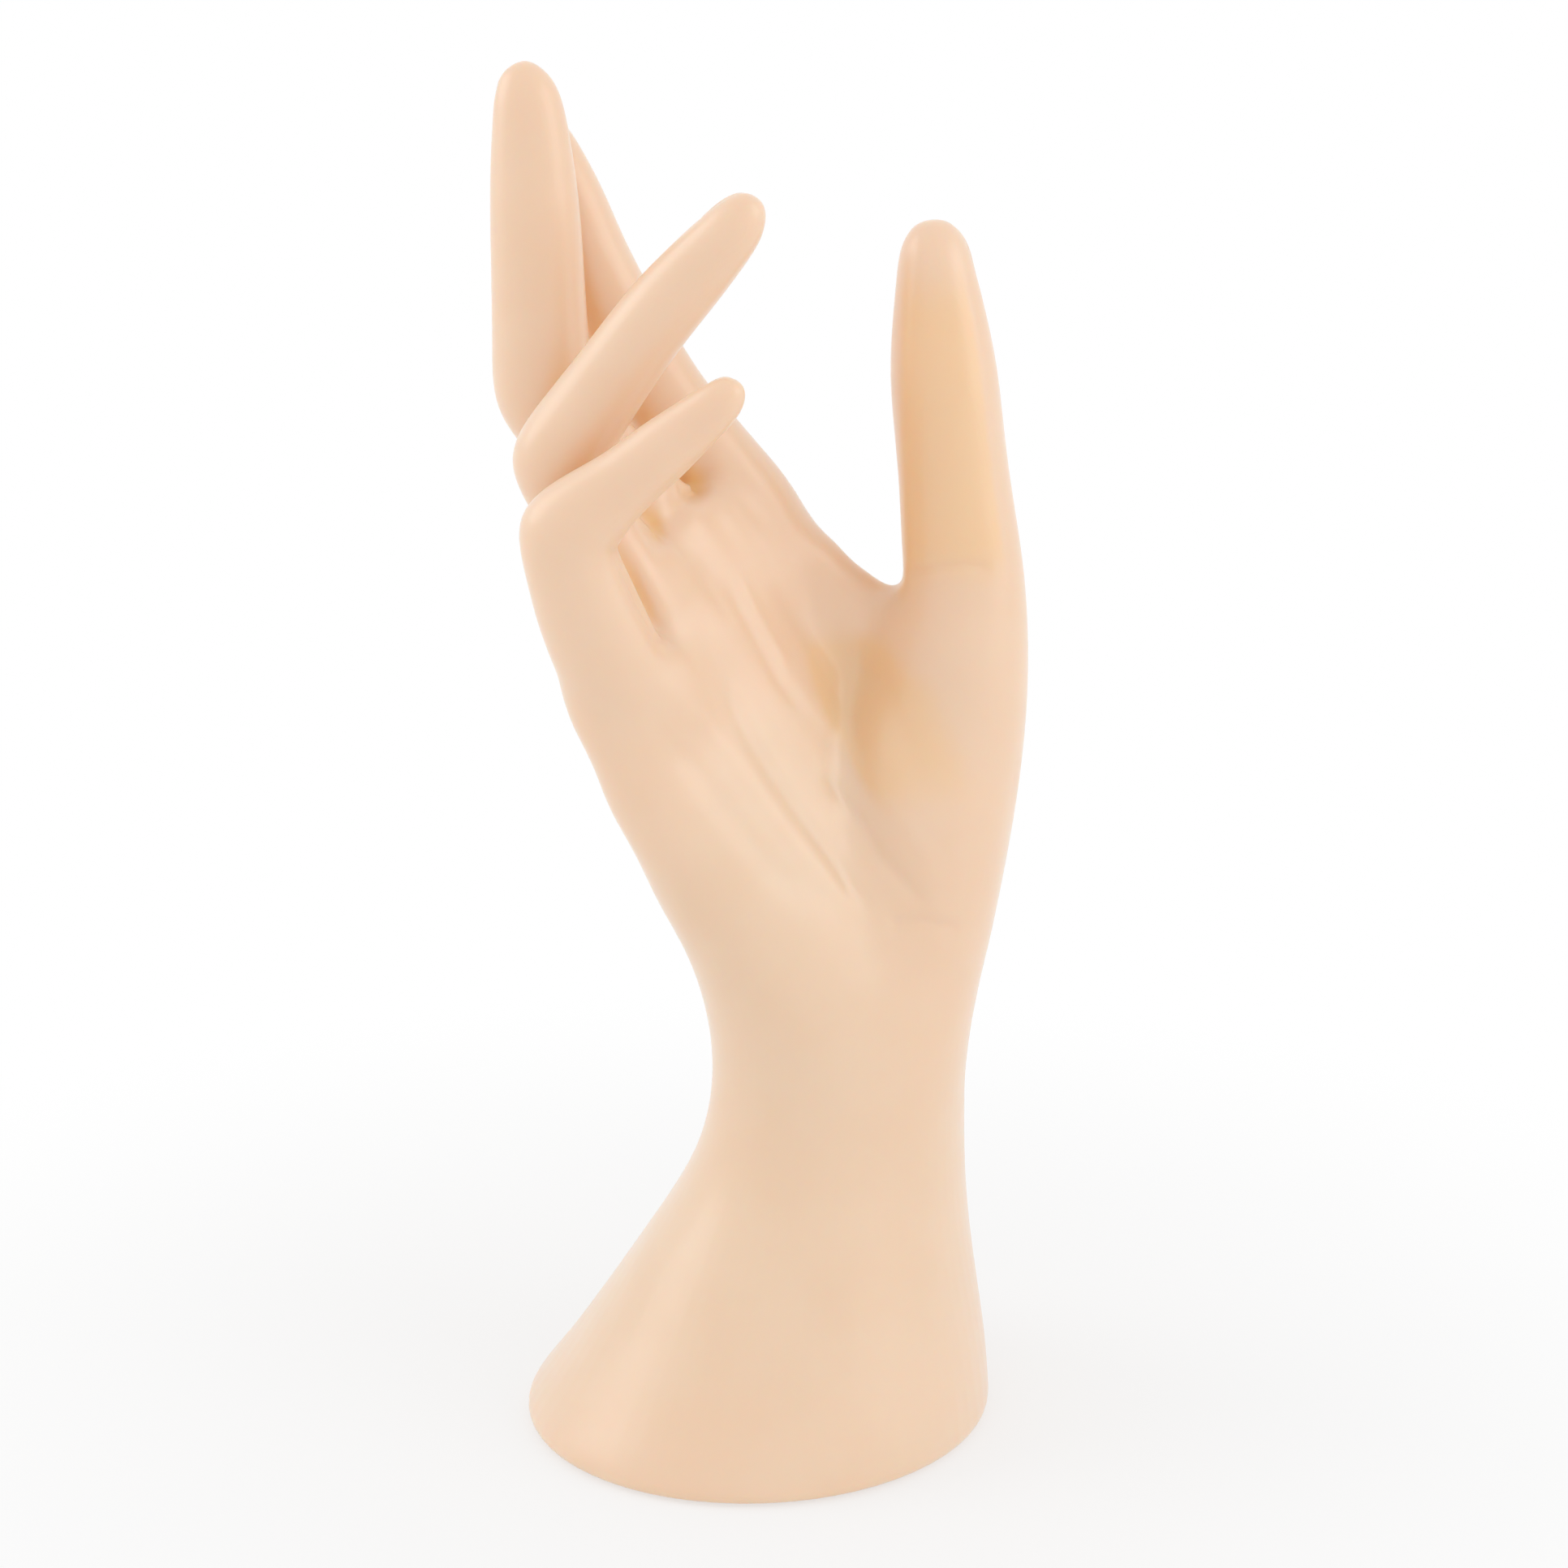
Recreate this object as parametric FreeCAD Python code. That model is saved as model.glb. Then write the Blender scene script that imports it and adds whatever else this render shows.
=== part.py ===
import FreeCAD, Part
import os
from math import copysign, cos, pi, radians, sin, sqrt

# A life-size display hand: a right hand in soft flesh-coloured plastic, moulded hollow in one piece
# with its wrist and a flared foot. A plate closes the foot, carries a ballast disc inside it and has
# a pad under it. All lengths are in millimetres and all angles in degrees.
# The origin is the middle of the pad's underside, +Z is up, +X is the thumb's side and -Y the
# little finger's side.

# Foot
FOOT_WIDTH = 92.4
FOOT_DEPTH = 88.6
FOOT_TURN_ANGLE = 42.0
FOOT_EDGE_RADIUS = 2.6
RIM_LIFT = 0.5
RIM_WALL = 3.2
LEDGE_WIDTH = 2.0
WALL = 3.0
CAVITY_DOME = 7.0

# Wrist
WRIST_HEIGHT = 67.0
WRIST_SHIFT = 15.9
WRIST_WIDTH = 51.0
WRIST_THICKNESS = 40.0
WRIST_TURN_ANGLE = 32.0

# Palm, measured at the knuckles
KNUCKLE_HEIGHT = 150.0
KNUCKLE_SHIFT = -10.1
KNUCKLE_REACH = -3.5
PALM_WIDTH = 67.8
PALM_THICKNESS = 23.5
PALM_HOLLOW = 2.4
PALM_END = 13.0
PALM_TURN_ANGLE = 52.0
PALM_TILT_ANGLE = 31.0
ROUND_POWER = 2.0
PALM_POWER = 2.3
DIGIT_POWER = 2.1

# Little finger
LITTLE_FIRST_BONE = 36.0
LITTLE_MIDDLE_BONE = 22.5
LITTLE_LAST_BONE = 18.6
LITTLE_THICKNESS = 14.6
LITTLE_BREADTH = 12.6
LITTLE_FORWARD = 3.6
LITTLE_ACROSS_SHARE = -0.64
LITTLE_RISE_ANGLES = (107.4, 39.5, 40.0)
LITTLE_LEAN_ANGLES = (-12.0, -11.0, -12.0)
LITTLE_TAPER_SHARES = (1.38, 1.10, 0.78, 0.57)

# Ring finger
RING_FIRST_BONE = 42.0
RING_MIDDLE_BONE = 32.0
RING_LAST_BONE = 27.4
RING_THICKNESS = 15.4
RING_BREADTH = 15.0
RING_FORWARD = 4.5
RING_ACROSS_SHARE = -0.19
RING_RISE_ANGLES = (120.2, 53.5, 47.5)
RING_LEAN_ANGLES = (-7.0, -12.0, -13.0)
RING_TAPER_SHARES = (1.12, 1.04, 0.87, 0.70)

# Middle finger
MIDDLE_FIRST_BONE = 48.2
MIDDLE_MIDDLE_BONE = 31.0
MIDDLE_LAST_BONE = 27.2
MIDDLE_THICKNESS = 18.4
MIDDLE_BREADTH = 16.0
MIDDLE_FORWARD = 6.5
MIDDLE_ACROSS_SHARE = 0.26
MIDDLE_RISE_ANGLES = (130.3, 91.0, 92.2)
MIDDLE_LEAN_ANGLES = (0.0, -2.0, -2.0)
MIDDLE_TAPER_SHARES = (1.02, 1.00, 0.89, 0.70)

# Index finger
INDEX_FIRST_BONE = 37.3
INDEX_MIDDLE_BONE = 25.6
INDEX_LAST_BONE = 27.5
INDEX_THICKNESS = 17.0
INDEX_BREADTH = 15.2
INDEX_FORWARD = 5.5
INDEX_ACROSS_SHARE = 0.80
INDEX_RISE_ANGLES = (127.2, 116.4, 112.0)
INDEX_LEAN_ANGLES = (1.5, 0.0, -1.0)
INDEX_TAPER_SHARES = (1.16, 1.01, 0.89, 0.77)

# Thumb, set out from the wrist
THUMB_FIRST_BONE = 76.8
THUMB_MIDDLE_BONE = 39.5
THUMB_LAST_BONE = 29.0
THUMB_THICKNESS = 20.0
THUMB_BREADTH = 20.0
THUMB_SHIFT = 9.4
THUMB_REACH = 3.5
THUMB_START = 17.0
THUMB_HEEL = 22.0
THUMB_RISE_ANGLES = (80.0, 96.5, 95.0)
THUMB_LEAN_ANGLES = (-1.0, 3.0, 3.5)
THUMB_TAPER_SHARES = (1.66, 1.00, 0.95, 0.71)

# Fold of skin between thumb and index finger
WEB_THICKNESS = 27.0
WEB_DEPTH = 16.0
WEB_SAG = 15.2
WEB_BOW = 2.4

# Skin between the fingers' roots
CLEFT_THICKNESS = 15.0
CLEFT_BREADTH = 11.4
CLEFT_LIFT = 1.4
CLEFT_SINK = 8.0
INDEX_CLEFT_SHARE = 0.42
MIDDLE_CLEFT_SHARE = 0.44
RING_CLEFT_SHARE = 0.20
RING_CLEFT_BREADTH = 15.0
RING_CLEFT_LIFT = 3.4

# Closing plate, ballast, screws and pad
PLATE_THICKNESS = 4.0
PLATE_CLEARANCE = 0.15
BALLAST_MARGIN = 8.0
BALLAST_HEIGHT = 12.0
BALLAST_CHAMFER = 1.0
SCREW_COUNT = 3
SCREW_INSET = 10.0
SCREW_DIAMETER = 4.0
SCREW_LENGTH = 10.0
HEAD_DIAMETER = 7.6
HEAD_HEIGHT = 2.2
SCREW_CLEARANCE = 0.15
DRIVE_WIDTH = 1.0
DRIVE_LENGTH = 4.6
DRIVE_DEPTH = 1.1
PAD_THICKNESS = 1.5
PAD_INSET = 3.0
OVERRUN = 2.0

# Rows of the foot's rounded edge: share of its height, and inset as a share of the edge radius.
EDGE_SHARES = ((0.0, 0.40), (0.25, 0.0), (1.0, 0.0))
# Rows from the foot to the wrist: height, side shift and slimming, as shares of the way between them.
FLARE_SHARES = (
    (0.14, 0.15, 0.13), (0.265, 0.31, 0.29), (0.57, 0.63, 0.68), (0.79, 0.90, 0.925), (1.0, 1.0, 1.0))
# Rows from the wrist to the knuckles: shares of the way in height, side shift, width, thickness,
# turn and tilt, then the share of the palm's hollow.
PALM_SHARES = (
    (0.18, 0.02, 0.10, 0.08, 0.20, 0.13, 0.0),
    (0.37, 0.13, 0.34, 0.23, 0.50, 0.32, 0.5),
    (0.58, 0.375, 0.60, 0.46, 0.70, 0.55, 1.0),
    (0.80, 0.675, 0.85, 0.74, 0.90, 0.80, 1.0),
    (1.00, 1.00, 0.76, 1.00, 1.00, 1.00, 0.6))
# Rows of the palm's rounded end past the knuckles: way, width and thickness, and how far the end
# leans to the back of the hand, as the bent-back fingers do.
END_SHARES = ((0.45, 0.92, 0.92), (0.80, 0.83, 0.76), (1.0, 0.70, 0.48), (1.0, 0.30, 0.16))
END_LEAN_SHARE = 0.45
# Rows along a digit: bone, place on it, row of the taper, then shares of its thickness and breadth.
FINGER_SHARES = (
    (0, 0.00, 0, 1.04, 1.03), (0, 0.45, 0, 0.90, 0.93), (0, 0.80, 1, 0.95, 0.97), (1, 0.00, 1, 1.00, 1.00),
    (1, 0.26, 1, 0.95, 0.96), (1, 0.62, 2, 1.02, 0.98), (2, 0.00, 2, 0.99, 1.01), (2, 0.35, 3, 1.16, 1.08))
THUMB_SHARES = (
    (0, 0.00, 0, 1.00, 0.97), (0, 0.25, 0, 1.03, 1.03), (0, 0.55, 0, 1.01, 0.94), (0, 0.80, 0, 0.90, 0.79),
    (1, 0.00, 1, 1.12, 1.04), (1, 0.25, 1, 1.09, 0.99), (1, 0.62, 2, 1.04, 1.00), (2, 0.00, 2, 1.06, 1.00),
    (2, 0.35, 3, 1.24, 1.12))
# Rows of a rounded fingertip: share of the tip's length, and of the digit's size there.
TIP_SHARES = ((0.0, 1.0), (0.45, 0.90), (0.80, 0.69), (0.99, 0.42), (1.0, 0.10))
TIP_LENGTH_SHARE = 0.32
# How far a fingertip curves to its nail side.
TIP_LIFT = 0.8
ROOT_LENGTH_SHARE = 0.55
ROOT_SPREAD_SHARE = 0.80
INDEX_ROOT_SPREAD_SHARE = 0.52
ROOT_SIZE_SHARE = 0.42
HEEL_SIZE_SHARE = 0.95
MITRE_LEAST_SHARE = 0.70
# Rows of the fold: way from index knuckle to thumb joint, sag, bow, thickness and depth.
WEB_SHARES = (
    (-0.20, 0.90, -3.2, 0.62, 0.62), (0.00, 0.58, -0.4, 0.90, 0.86), (0.25, 0.80, 0.5, 1.00, 0.86),
    (0.45, 1.04, 0.90, 0.96, 0.84), (0.66, 1.10, 0.50, 0.93, 0.84), (0.89, 0.85, 0.25, 0.74, 0.84))
# Rows of the skin between two fingers' roots: way along it, and size.
CLEFT_SHARES = ((0.0, 0.8), (0.35, 1.0), (0.7, 1.0), (0.88, 0.86), (0.97, 0.55), (1.0, 0.2))
CLEFT_START_SHARE = -0.35
# Points round a cross-section, and how often a wall's spline repeats its first and last knot.
RING_COUNT = 16
END_COUNT = 4


def add(*vectors):
    return tuple(sum(parts) for parts in zip(*vectors))


def scale(vector, factor):
    return tuple(part * factor for part in vector)


def dot(a, b):
    return sum(x * y for x, y in zip(a, b))


def unit(vector):
    return scale(vector, 1 / sqrt(dot(vector, vector)))


def cross(a, b):
    return (a[1] * b[2] - a[2] * b[1], a[2] * b[0] - a[0] * b[2], a[0] * b[1] - a[1] * b[0])


def mix(a, b, share):
    return a + (b - a) * share


def between(a, b, share):
    return tuple(mix(x, y, share) for x, y in zip(a, b))


def square_to(vector, direction):
    """The part of a vector that is square to a unit direction, as a unit vector."""
    return unit(add(vector, scale(direction, -dot(vector, direction))))


def heading(rise, lean):
    """A direction that rises from +X in the upright plane and leans out of it towards +Y."""
    rise, lean = radians(rise), radians(lean)
    return (cos(rise) * cos(lean), sin(lean), sin(rise) * cos(lean))


def palm_axes(turn, tilt):
    """Across the palm to the thumb's side, out of its hollow side, and onwards to the fingers."""
    turn, tilt = radians(turn), radians(tilt)
    across = (cos(tilt) * cos(turn), cos(tilt) * sin(turn), sin(tilt))
    outward = (sin(turn), -cos(turn), 0)
    return across, outward, cross(outward, across)


def ring(centre, across, outward, width, thickness, power, hollow=0):
    """Points round a cross-section: an oval, squarer with a higher power, hollowed on its outward side."""
    points = []
    for step in range(RING_COUNT):
        angle = 2 * pi * step / RING_COUNT
        side, out = cos(angle), sin(angle)
        along = width / 2 * copysign(abs(side) ** (2 / power), side)
        away = thickness / 2 * copysign(abs(out) ** (2 / power), out) - hollow * max(out, 0) ** 3
        points.append(add(centre, scale(across, along), scale(outward, away)))
    return points


def edge_sections():
    """Cross-sections of the foot's rounded lower edge."""
    across, outward, _ = palm_axes(FOOT_TURN_ANGLE, 0)
    sections = []
    for rise, inset in EDGE_SHARES:
        inset = 2 * inset * FOOT_EDGE_RADIUS
        centre = (0, 0, RIM_LIFT + rise * FOOT_EDGE_RADIUS)
        sections.append((centre, across, outward, FOOT_WIDTH - inset, FOOT_DEPTH - inset, ROUND_POWER, 0))
    return sections


def flare_sections():
    """Cross-sections from the foot up to the wrist."""
    sections = []
    for up, side, slim in FLARE_SHARES:
        across, outward, _ = palm_axes(mix(FOOT_TURN_ANGLE, WRIST_TURN_ANGLE, slim), 0)
        width = mix(FOOT_WIDTH, WRIST_WIDTH, slim)
        thickness = mix(FOOT_DEPTH, WRIST_THICKNESS, slim)
        centre = (side * WRIST_SHIFT, 0, up * WRIST_HEIGHT)
        sections.append((centre, across, outward, width, thickness, ROUND_POWER, 0))
    return sections


def palm_sections():
    """Cross-sections from the wrist up to the knuckles."""
    sections = []
    for up, side, wide, thick, turn, tilt, hollow in PALM_SHARES:
        across, outward, _ = palm_axes(mix(WRIST_TURN_ANGLE, PALM_TURN_ANGLE, turn), PALM_TILT_ANGLE * tilt)
        width = mix(WRIST_WIDTH, PALM_WIDTH, wide)
        thickness = mix(WRIST_THICKNESS, PALM_THICKNESS, thick)
        height = mix(WRIST_HEIGHT, KNUCKLE_HEIGHT, up)
        centre = (mix(WRIST_SHIFT, KNUCKLE_SHIFT, side), KNUCKLE_REACH * up, height)
        power = mix(ROUND_POWER, PALM_POWER, turn)
        sections.append((centre, across, outward, width, thickness, power, hollow * PALM_HOLLOW))
    return sections


def palm_place(across_share, forward):
    """A point at the knuckles: a share of the palm's half width, and a way on towards the fingers."""
    across, _, onward = palm_axes(PALM_TURN_ANGLE, PALM_TILT_ANGLE)
    knuckles = (KNUCKLE_SHIFT, KNUCKLE_REACH, KNUCKLE_HEIGHT)
    return add(knuckles, scale(across, across_share * PALM_WIDTH / 2), scale(onward, forward))


def end_sections():
    """Cross-sections of the palm's rounded end, which the fingers grow out of."""
    across, outward, _ = palm_axes(PALM_TURN_ANGLE, PALM_TILT_ANGLE)
    sections = []
    for way, wide, thick in END_SHARES:
        centre = add(palm_place(0, way * PALM_END), scale(outward, -END_LEAN_SHARE * way * PALM_END))
        sections.append((centre, across, outward, wide * PALM_WIDTH, thick * PALM_THICKNESS, PALM_POWER, 0))
    return sections


def body_rings():
    sections = edge_sections() + flare_sections() + palm_sections() + end_sections()
    return [ring(*section) for section in sections]


def tube_rings(places, sizes, hint):
    """Rings square to a path, their breadth along the hint, widened where the path bends."""
    rings = []
    for i, place in enumerate(places):
        before = places[max(i - 1, 0)]
        after = places[min(i + 1, len(places) - 1)]
        leaving = unit(add(after, scale(place if i < len(places) - 1 else before, -1)))
        arriving = unit(add(place, scale(before, -1))) if i > 0 else leaving
        direction = unit(add(arriving, leaving))
        mitre = 1 / max(MITRE_LEAST_SHARE, dot(direction, arriving))
        breadth_way = square_to(hint, direction)
        thickness, breadth = sizes[i]
        thickness_way = cross(direction, breadth_way)
        rings.append(ring(place, breadth_way, thickness_way, breadth, thickness * mitre, DIGIT_POWER))
    return rings


def digit_joints(root, bones, rises, leans):
    """The points where a digit's bones meet, from its root to its tip."""
    joints = [root]
    for length, rise, lean in zip(bones, rises, leans):
        joints.append(add(joints[-1], scale(heading(rise, lean), length)))
    return joints


def digit_rings(start, start_share, joints, rises, leans, thickness, breadth, taper, rows, lift):
    """Rings of one digit: from its start inside the hand, along its bones, to a rounded tip."""
    places = [start]
    size = taper[0] * start_share
    sizes = [(thickness * size, breadth * size)]
    for bone, along, stage, thick, broad in rows:
        places.append(between(joints[bone], joints[bone + 1], along))
        sizes.append((thickness * taper[stage] * thick, breadth * taper[stage] * broad))
    nail_side = heading(rises[2] + 90, 0)
    for way, size in TIP_SHARES:
        along_bone = between(joints[3], joints[2], TIP_LENGTH_SHARE * (1 - way))
        places.append(add(along_bone, scale(nail_side, lift * way ** 2)))
        sizes.append((thickness * taper[3] * size, breadth * taper[3] * size))
    return tube_rings(places, sizes, square_to((0, 1, 0), heading(rises[1], leans[1])))


def finger_rings(across_share, forward, bones, rises, leans, thickness, breadth, taper,
                 spread=ROOT_SPREAD_SHARE):
    """Rings of a finger, the first inside the palm along its own direction."""
    joints = digit_joints(palm_place(across_share, forward), bones, rises, leans)
    start = palm_place(across_share * spread, forward - ROOT_LENGTH_SHARE * bones[0])
    return digit_rings(
        start, ROOT_SIZE_SHARE, joints, rises, leans, thickness, breadth, taper, FINGER_SHARES, TIP_LIFT)


def little_rings():
    return finger_rings(
        LITTLE_ACROSS_SHARE, LITTLE_FORWARD, (LITTLE_FIRST_BONE, LITTLE_MIDDLE_BONE, LITTLE_LAST_BONE),
        LITTLE_RISE_ANGLES, LITTLE_LEAN_ANGLES, LITTLE_THICKNESS, LITTLE_BREADTH, LITTLE_TAPER_SHARES)


def ring_finger_rings():
    return finger_rings(
        RING_ACROSS_SHARE, RING_FORWARD, (RING_FIRST_BONE, RING_MIDDLE_BONE, RING_LAST_BONE),
        RING_RISE_ANGLES, RING_LEAN_ANGLES, RING_THICKNESS, RING_BREADTH, RING_TAPER_SHARES)


def middle_rings():
    return finger_rings(
        MIDDLE_ACROSS_SHARE, MIDDLE_FORWARD, (MIDDLE_FIRST_BONE, MIDDLE_MIDDLE_BONE, MIDDLE_LAST_BONE),
        MIDDLE_RISE_ANGLES, MIDDLE_LEAN_ANGLES, MIDDLE_THICKNESS, MIDDLE_BREADTH, MIDDLE_TAPER_SHARES)


def index_rings():
    return finger_rings(
        INDEX_ACROSS_SHARE, INDEX_FORWARD, (INDEX_FIRST_BONE, INDEX_MIDDLE_BONE, INDEX_LAST_BONE),
        INDEX_RISE_ANGLES, INDEX_LEAN_ANGLES, INDEX_THICKNESS, INDEX_BREADTH, INDEX_TAPER_SHARES,
        INDEX_ROOT_SPREAD_SHARE)


def thumb_joints():
    root = (WRIST_SHIFT + THUMB_SHIFT, THUMB_REACH, WRIST_HEIGHT + THUMB_START)
    bones = (THUMB_FIRST_BONE, THUMB_MIDDLE_BONE, THUMB_LAST_BONE)
    return digit_joints(root, bones, THUMB_RISE_ANGLES, THUMB_LEAN_ANGLES)


def thumb_rings():
    joints = thumb_joints()
    start = add(joints[0], (-THUMB_SHIFT, -THUMB_REACH, -THUMB_HEEL))
    return digit_rings(
        start, HEEL_SIZE_SHARE, joints, THUMB_RISE_ANGLES, THUMB_LEAN_ANGLES,
        THUMB_THICKNESS, THUMB_BREADTH, THUMB_TAPER_SHARES, THUMB_SHARES, 0)


def web_rings():
    """Rings of the fold of skin that sags from the index finger's knuckle to the thumb's."""
    start = palm_place(INDEX_ACROSS_SHARE, INDEX_FORWARD)
    end = thumb_joints()[1]
    places, sizes = [], []
    for way, sag, bow, thick, deep in WEB_SHARES:
        places.append(add(between(start, end, way), (0, bow * WEB_BOW, -sag * WEB_SAG)))
        sizes.append((thick * WEB_THICKNESS, deep * WEB_DEPTH))
    along, up = unit(add(end, scale(start, -1))), (0, 0, 1)
    return tube_rings(places, sizes, cross(up, along))


def first_bone(across_share, forward, length, rises, leans):
    root = palm_place(across_share, forward)
    return root, add(root, scale(heading(rises[0], leans[0]), length))


def cleft_rings(a, b, reach, breadth=CLEFT_BREADTH, lift=CLEFT_LIFT):
    """Rings of the skin between two fingers, from inside the palm to its end between their bones."""
    outward = palm_axes(PALM_TURN_ANGLE, PALM_TILT_ANGLE)[1]
    places, sizes = [], []
    for way, size in CLEFT_SHARES:
        share = mix(CLEFT_START_SHARE, reach, way)
        middle = between(between(*a, share), between(*b, share), 0.5)
        places.append(add(middle, scale(outward, lift - CLEFT_SINK * (1 - way) ** 2)))
        sizes.append((size * CLEFT_THICKNESS, size * breadth))
    return tube_rings(places, sizes, add(a[0], scale(b[0], -1)))


def all_cleft_rings():
    """The clefts from the index finger to the little finger."""
    index = first_bone(
        INDEX_ACROSS_SHARE, INDEX_FORWARD, INDEX_FIRST_BONE, INDEX_RISE_ANGLES, INDEX_LEAN_ANGLES)
    middle = first_bone(
        MIDDLE_ACROSS_SHARE, MIDDLE_FORWARD, MIDDLE_FIRST_BONE, MIDDLE_RISE_ANGLES, MIDDLE_LEAN_ANGLES)
    ring_finger = first_bone(
        RING_ACROSS_SHARE, RING_FORWARD, RING_FIRST_BONE, RING_RISE_ANGLES, RING_LEAN_ANGLES)
    little = first_bone(
        LITTLE_ACROSS_SHARE, LITTLE_FORWARD, LITTLE_FIRST_BONE, LITTLE_RISE_ANGLES, LITTLE_LEAN_ANGLES)
    return [cleft_rings(index, middle, INDEX_CLEFT_SHARE),
            cleft_rings(middle, ring_finger, MIDDLE_CLEFT_SHARE),
            cleft_rings(ring_finger, little, RING_CLEFT_SHARE, RING_CLEFT_BREADTH, RING_CLEFT_LIFT)]


def skin(rings):
    """A closed solid whose smooth wall is steered by rings of points, with a flat cap at each end."""
    growth = 3 / (2 + cos(2 * pi / RING_COUNT))
    rows = []
    for points in rings:
        middle = scale(add(*points), 1 / len(points))
        rows.append([FreeCAD.Vector(*between(middle, point, growth)) for point in points])
    inner = len(rows) - END_COUNT
    counts = [END_COUNT] + [1] * inner + [END_COUNT]
    wall = Part.BSplineSurface()
    wall.buildFromPolesMultsKnots(
        rows, counts, [1] * (RING_COUNT + 1), list(range(inner + 2)), list(range(RING_COUNT + 1)),
        False, True, 3, 3)
    face = wall.toShape()
    caps = [Part.Face(Part.Wire([edge])) for edge in face.Edges if edge.isClosed()]
    closed = Part.makeCompound([face] + caps)
    closed.sewShape()
    solid = Part.Solid(closed.Shells[0])
    if solid.Volume < 0:
        solid.reverse()
    return solid


def disc(diameter, height, base, x=0, y=0):
    return Part.makeCylinder(diameter / 2, height, FreeCAD.Vector(x, y, base))


# Heights and sizes that several pieces share
PLATE_BASE = PAD_THICKNESS
LEDGE_HEIGHT = PLATE_BASE + PLATE_THICKNESS
SEAT_DIAMETER = min(FOOT_WIDTH, FOOT_DEPTH) - 2 * RIM_WALL
MOUTH_DIAMETER = SEAT_DIAMETER - 2 * LEDGE_WIDTH
PLATE_DIAMETER = SEAT_DIAMETER - 2 * PLATE_CLEARANCE
BALLAST_DIAMETER = MOUTH_DIAMETER - 2 * BALLAST_MARGIN
HEAD_SEAT = PLATE_BASE + HEAD_HEIGHT + SCREW_CLEARANCE


def screw_places():
    """The middles of the screws, evenly round their circle."""
    radius = BALLAST_DIAMETER / 2 - SCREW_INSET
    angles = [2 * pi * i / SCREW_COUNT for i in range(SCREW_COUNT)]
    return [(radius * sin(angle), radius * cos(angle)) for angle in angles]


def cavity():
    """The hollow inside the skin: a seat for the plate, then the flare, the wrist and the lower palm."""
    across, outward, _ = palm_axes(FOOT_TURN_ANGLE, 0)
    rings = []
    for height in (LEDGE_HEIGHT - WALL / 2, LEDGE_HEIGHT):
        mouth = (MOUTH_DIAMETER, MOUTH_DIAMETER)
        rings.append(ring((0, 0, height), across, outward, *mouth, ROUND_POWER))
    sections = flare_sections()[1:] + palm_sections()[:-1]
    for centre, across, outward, width, thickness, power, hollow in sections:
        rings.append(ring(centre, across, outward, width - 2 * WALL, thickness - 2 * WALL, power, hollow))
    onward = cross(outward, across)
    top = add(centre, scale(onward, CAVITY_DOME))
    rings.append(ring(top, across, outward, width / 2, thickness / 2 - WALL, power))
    seat = disc(SEAT_DIAMETER, LEDGE_HEIGHT + OVERRUN, -OVERRUN)
    return skin(rings).fuse(seat)


def hand_shell():
    """The one-piece hollow skin: foot, wrist, palm, thumb, four fingers and the folds between them."""
    forms = [little_rings(), ring_finger_rings(), middle_rings(), index_rings(), thumb_rings(), web_rings()]
    hand = skin(body_rings()).fuse([skin(rings) for rings in forms + all_cleft_rings()])
    return hand.cut(cavity())


def base_plate():
    """The round plate that closes the foot, bored and counterbored for the ballast's screws."""
    plate = disc(PLATE_DIAMETER, PLATE_THICKNESS, PLATE_BASE)
    hole = SCREW_DIAMETER + 2 * SCREW_CLEARANCE
    bore = HEAD_DIAMETER + 2 * SCREW_CLEARANCE
    for x, y in screw_places():
        plate = plate.cut(disc(hole, PLATE_THICKNESS + 2 * OVERRUN, PLATE_BASE - OVERRUN, x, y))
        plate = plate.cut(disc(bore, HEAD_SEAT - PLATE_BASE + OVERRUN, PLATE_BASE - OVERRUN, x, y))
    return plate


def ballast_weight():
    """The cast disc on the plate that keeps the tall hand upright, with blind holes for its screws."""
    weight = disc(BALLAST_DIAMETER, BALLAST_HEIGHT, LEDGE_HEIGHT)
    weight = weight.makeChamfer(BALLAST_CHAMFER, weight.Edges[:1])
    hole = SCREW_DIAMETER + 2 * SCREW_CLEARANCE
    depth = HEAD_SEAT + SCREW_LENGTH - LEDGE_HEIGHT + SCREW_DIAMETER / 4
    for x, y in screw_places():
        weight = weight.cut(disc(hole, depth + OVERRUN, LEDGE_HEIGHT - OVERRUN, x, y))
    return weight


def ballast_screw(x, y):
    """A pan-headed screw, head down in its counterbore, with a cross recess."""
    under_head = HEAD_SEAT - HEAD_HEIGHT
    head = disc(HEAD_DIAMETER, HEAD_HEIGHT, under_head, x, y)
    screw = head.fuse(disc(SCREW_DIAMETER, SCREW_LENGTH, HEAD_SEAT, x, y))
    for wide, deep in ((DRIVE_LENGTH, DRIVE_WIDTH), (DRIVE_WIDTH, DRIVE_LENGTH)):
        corner = FreeCAD.Vector(x - wide / 2, y - deep / 2, under_head - OVERRUN)
        screw = screw.cut(Part.makeBox(wide, deep, DRIVE_DEPTH + OVERRUN, corner))
    return screw


def ballast_screws():
    return Part.makeCompound([ballast_screw(x, y) for x, y in screw_places()])


def foot_pad():
    """The thin pad stuck under the plate, a little proud of the rim, that the hand stands on."""
    return disc(PLATE_DIAMETER - 2 * PAD_INSET, PAD_THICKNESS, 0)


NODES = {
    "hand_shell": hand_shell,
    "base_plate": base_plate,
    "ballast_weight": ballast_weight,
    "ballast_screws": ballast_screws,
    "foot_pad": foot_pad,
}

os.makedirs("parts", exist_ok=True)
for name, make in NODES.items():
    shape = make()
    shape.exportStep("parts/" + name + ".step")
    box = shape.BoundBox
    print(name, "solids", len(shape.Solids), "valid", shape.isValid(), "volume", round(shape.Volume),
          "box", [round(v, 2) for v in (box.XMin, box.YMin, box.ZMin, box.XMax, box.YMax, box.ZMax)])
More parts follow.
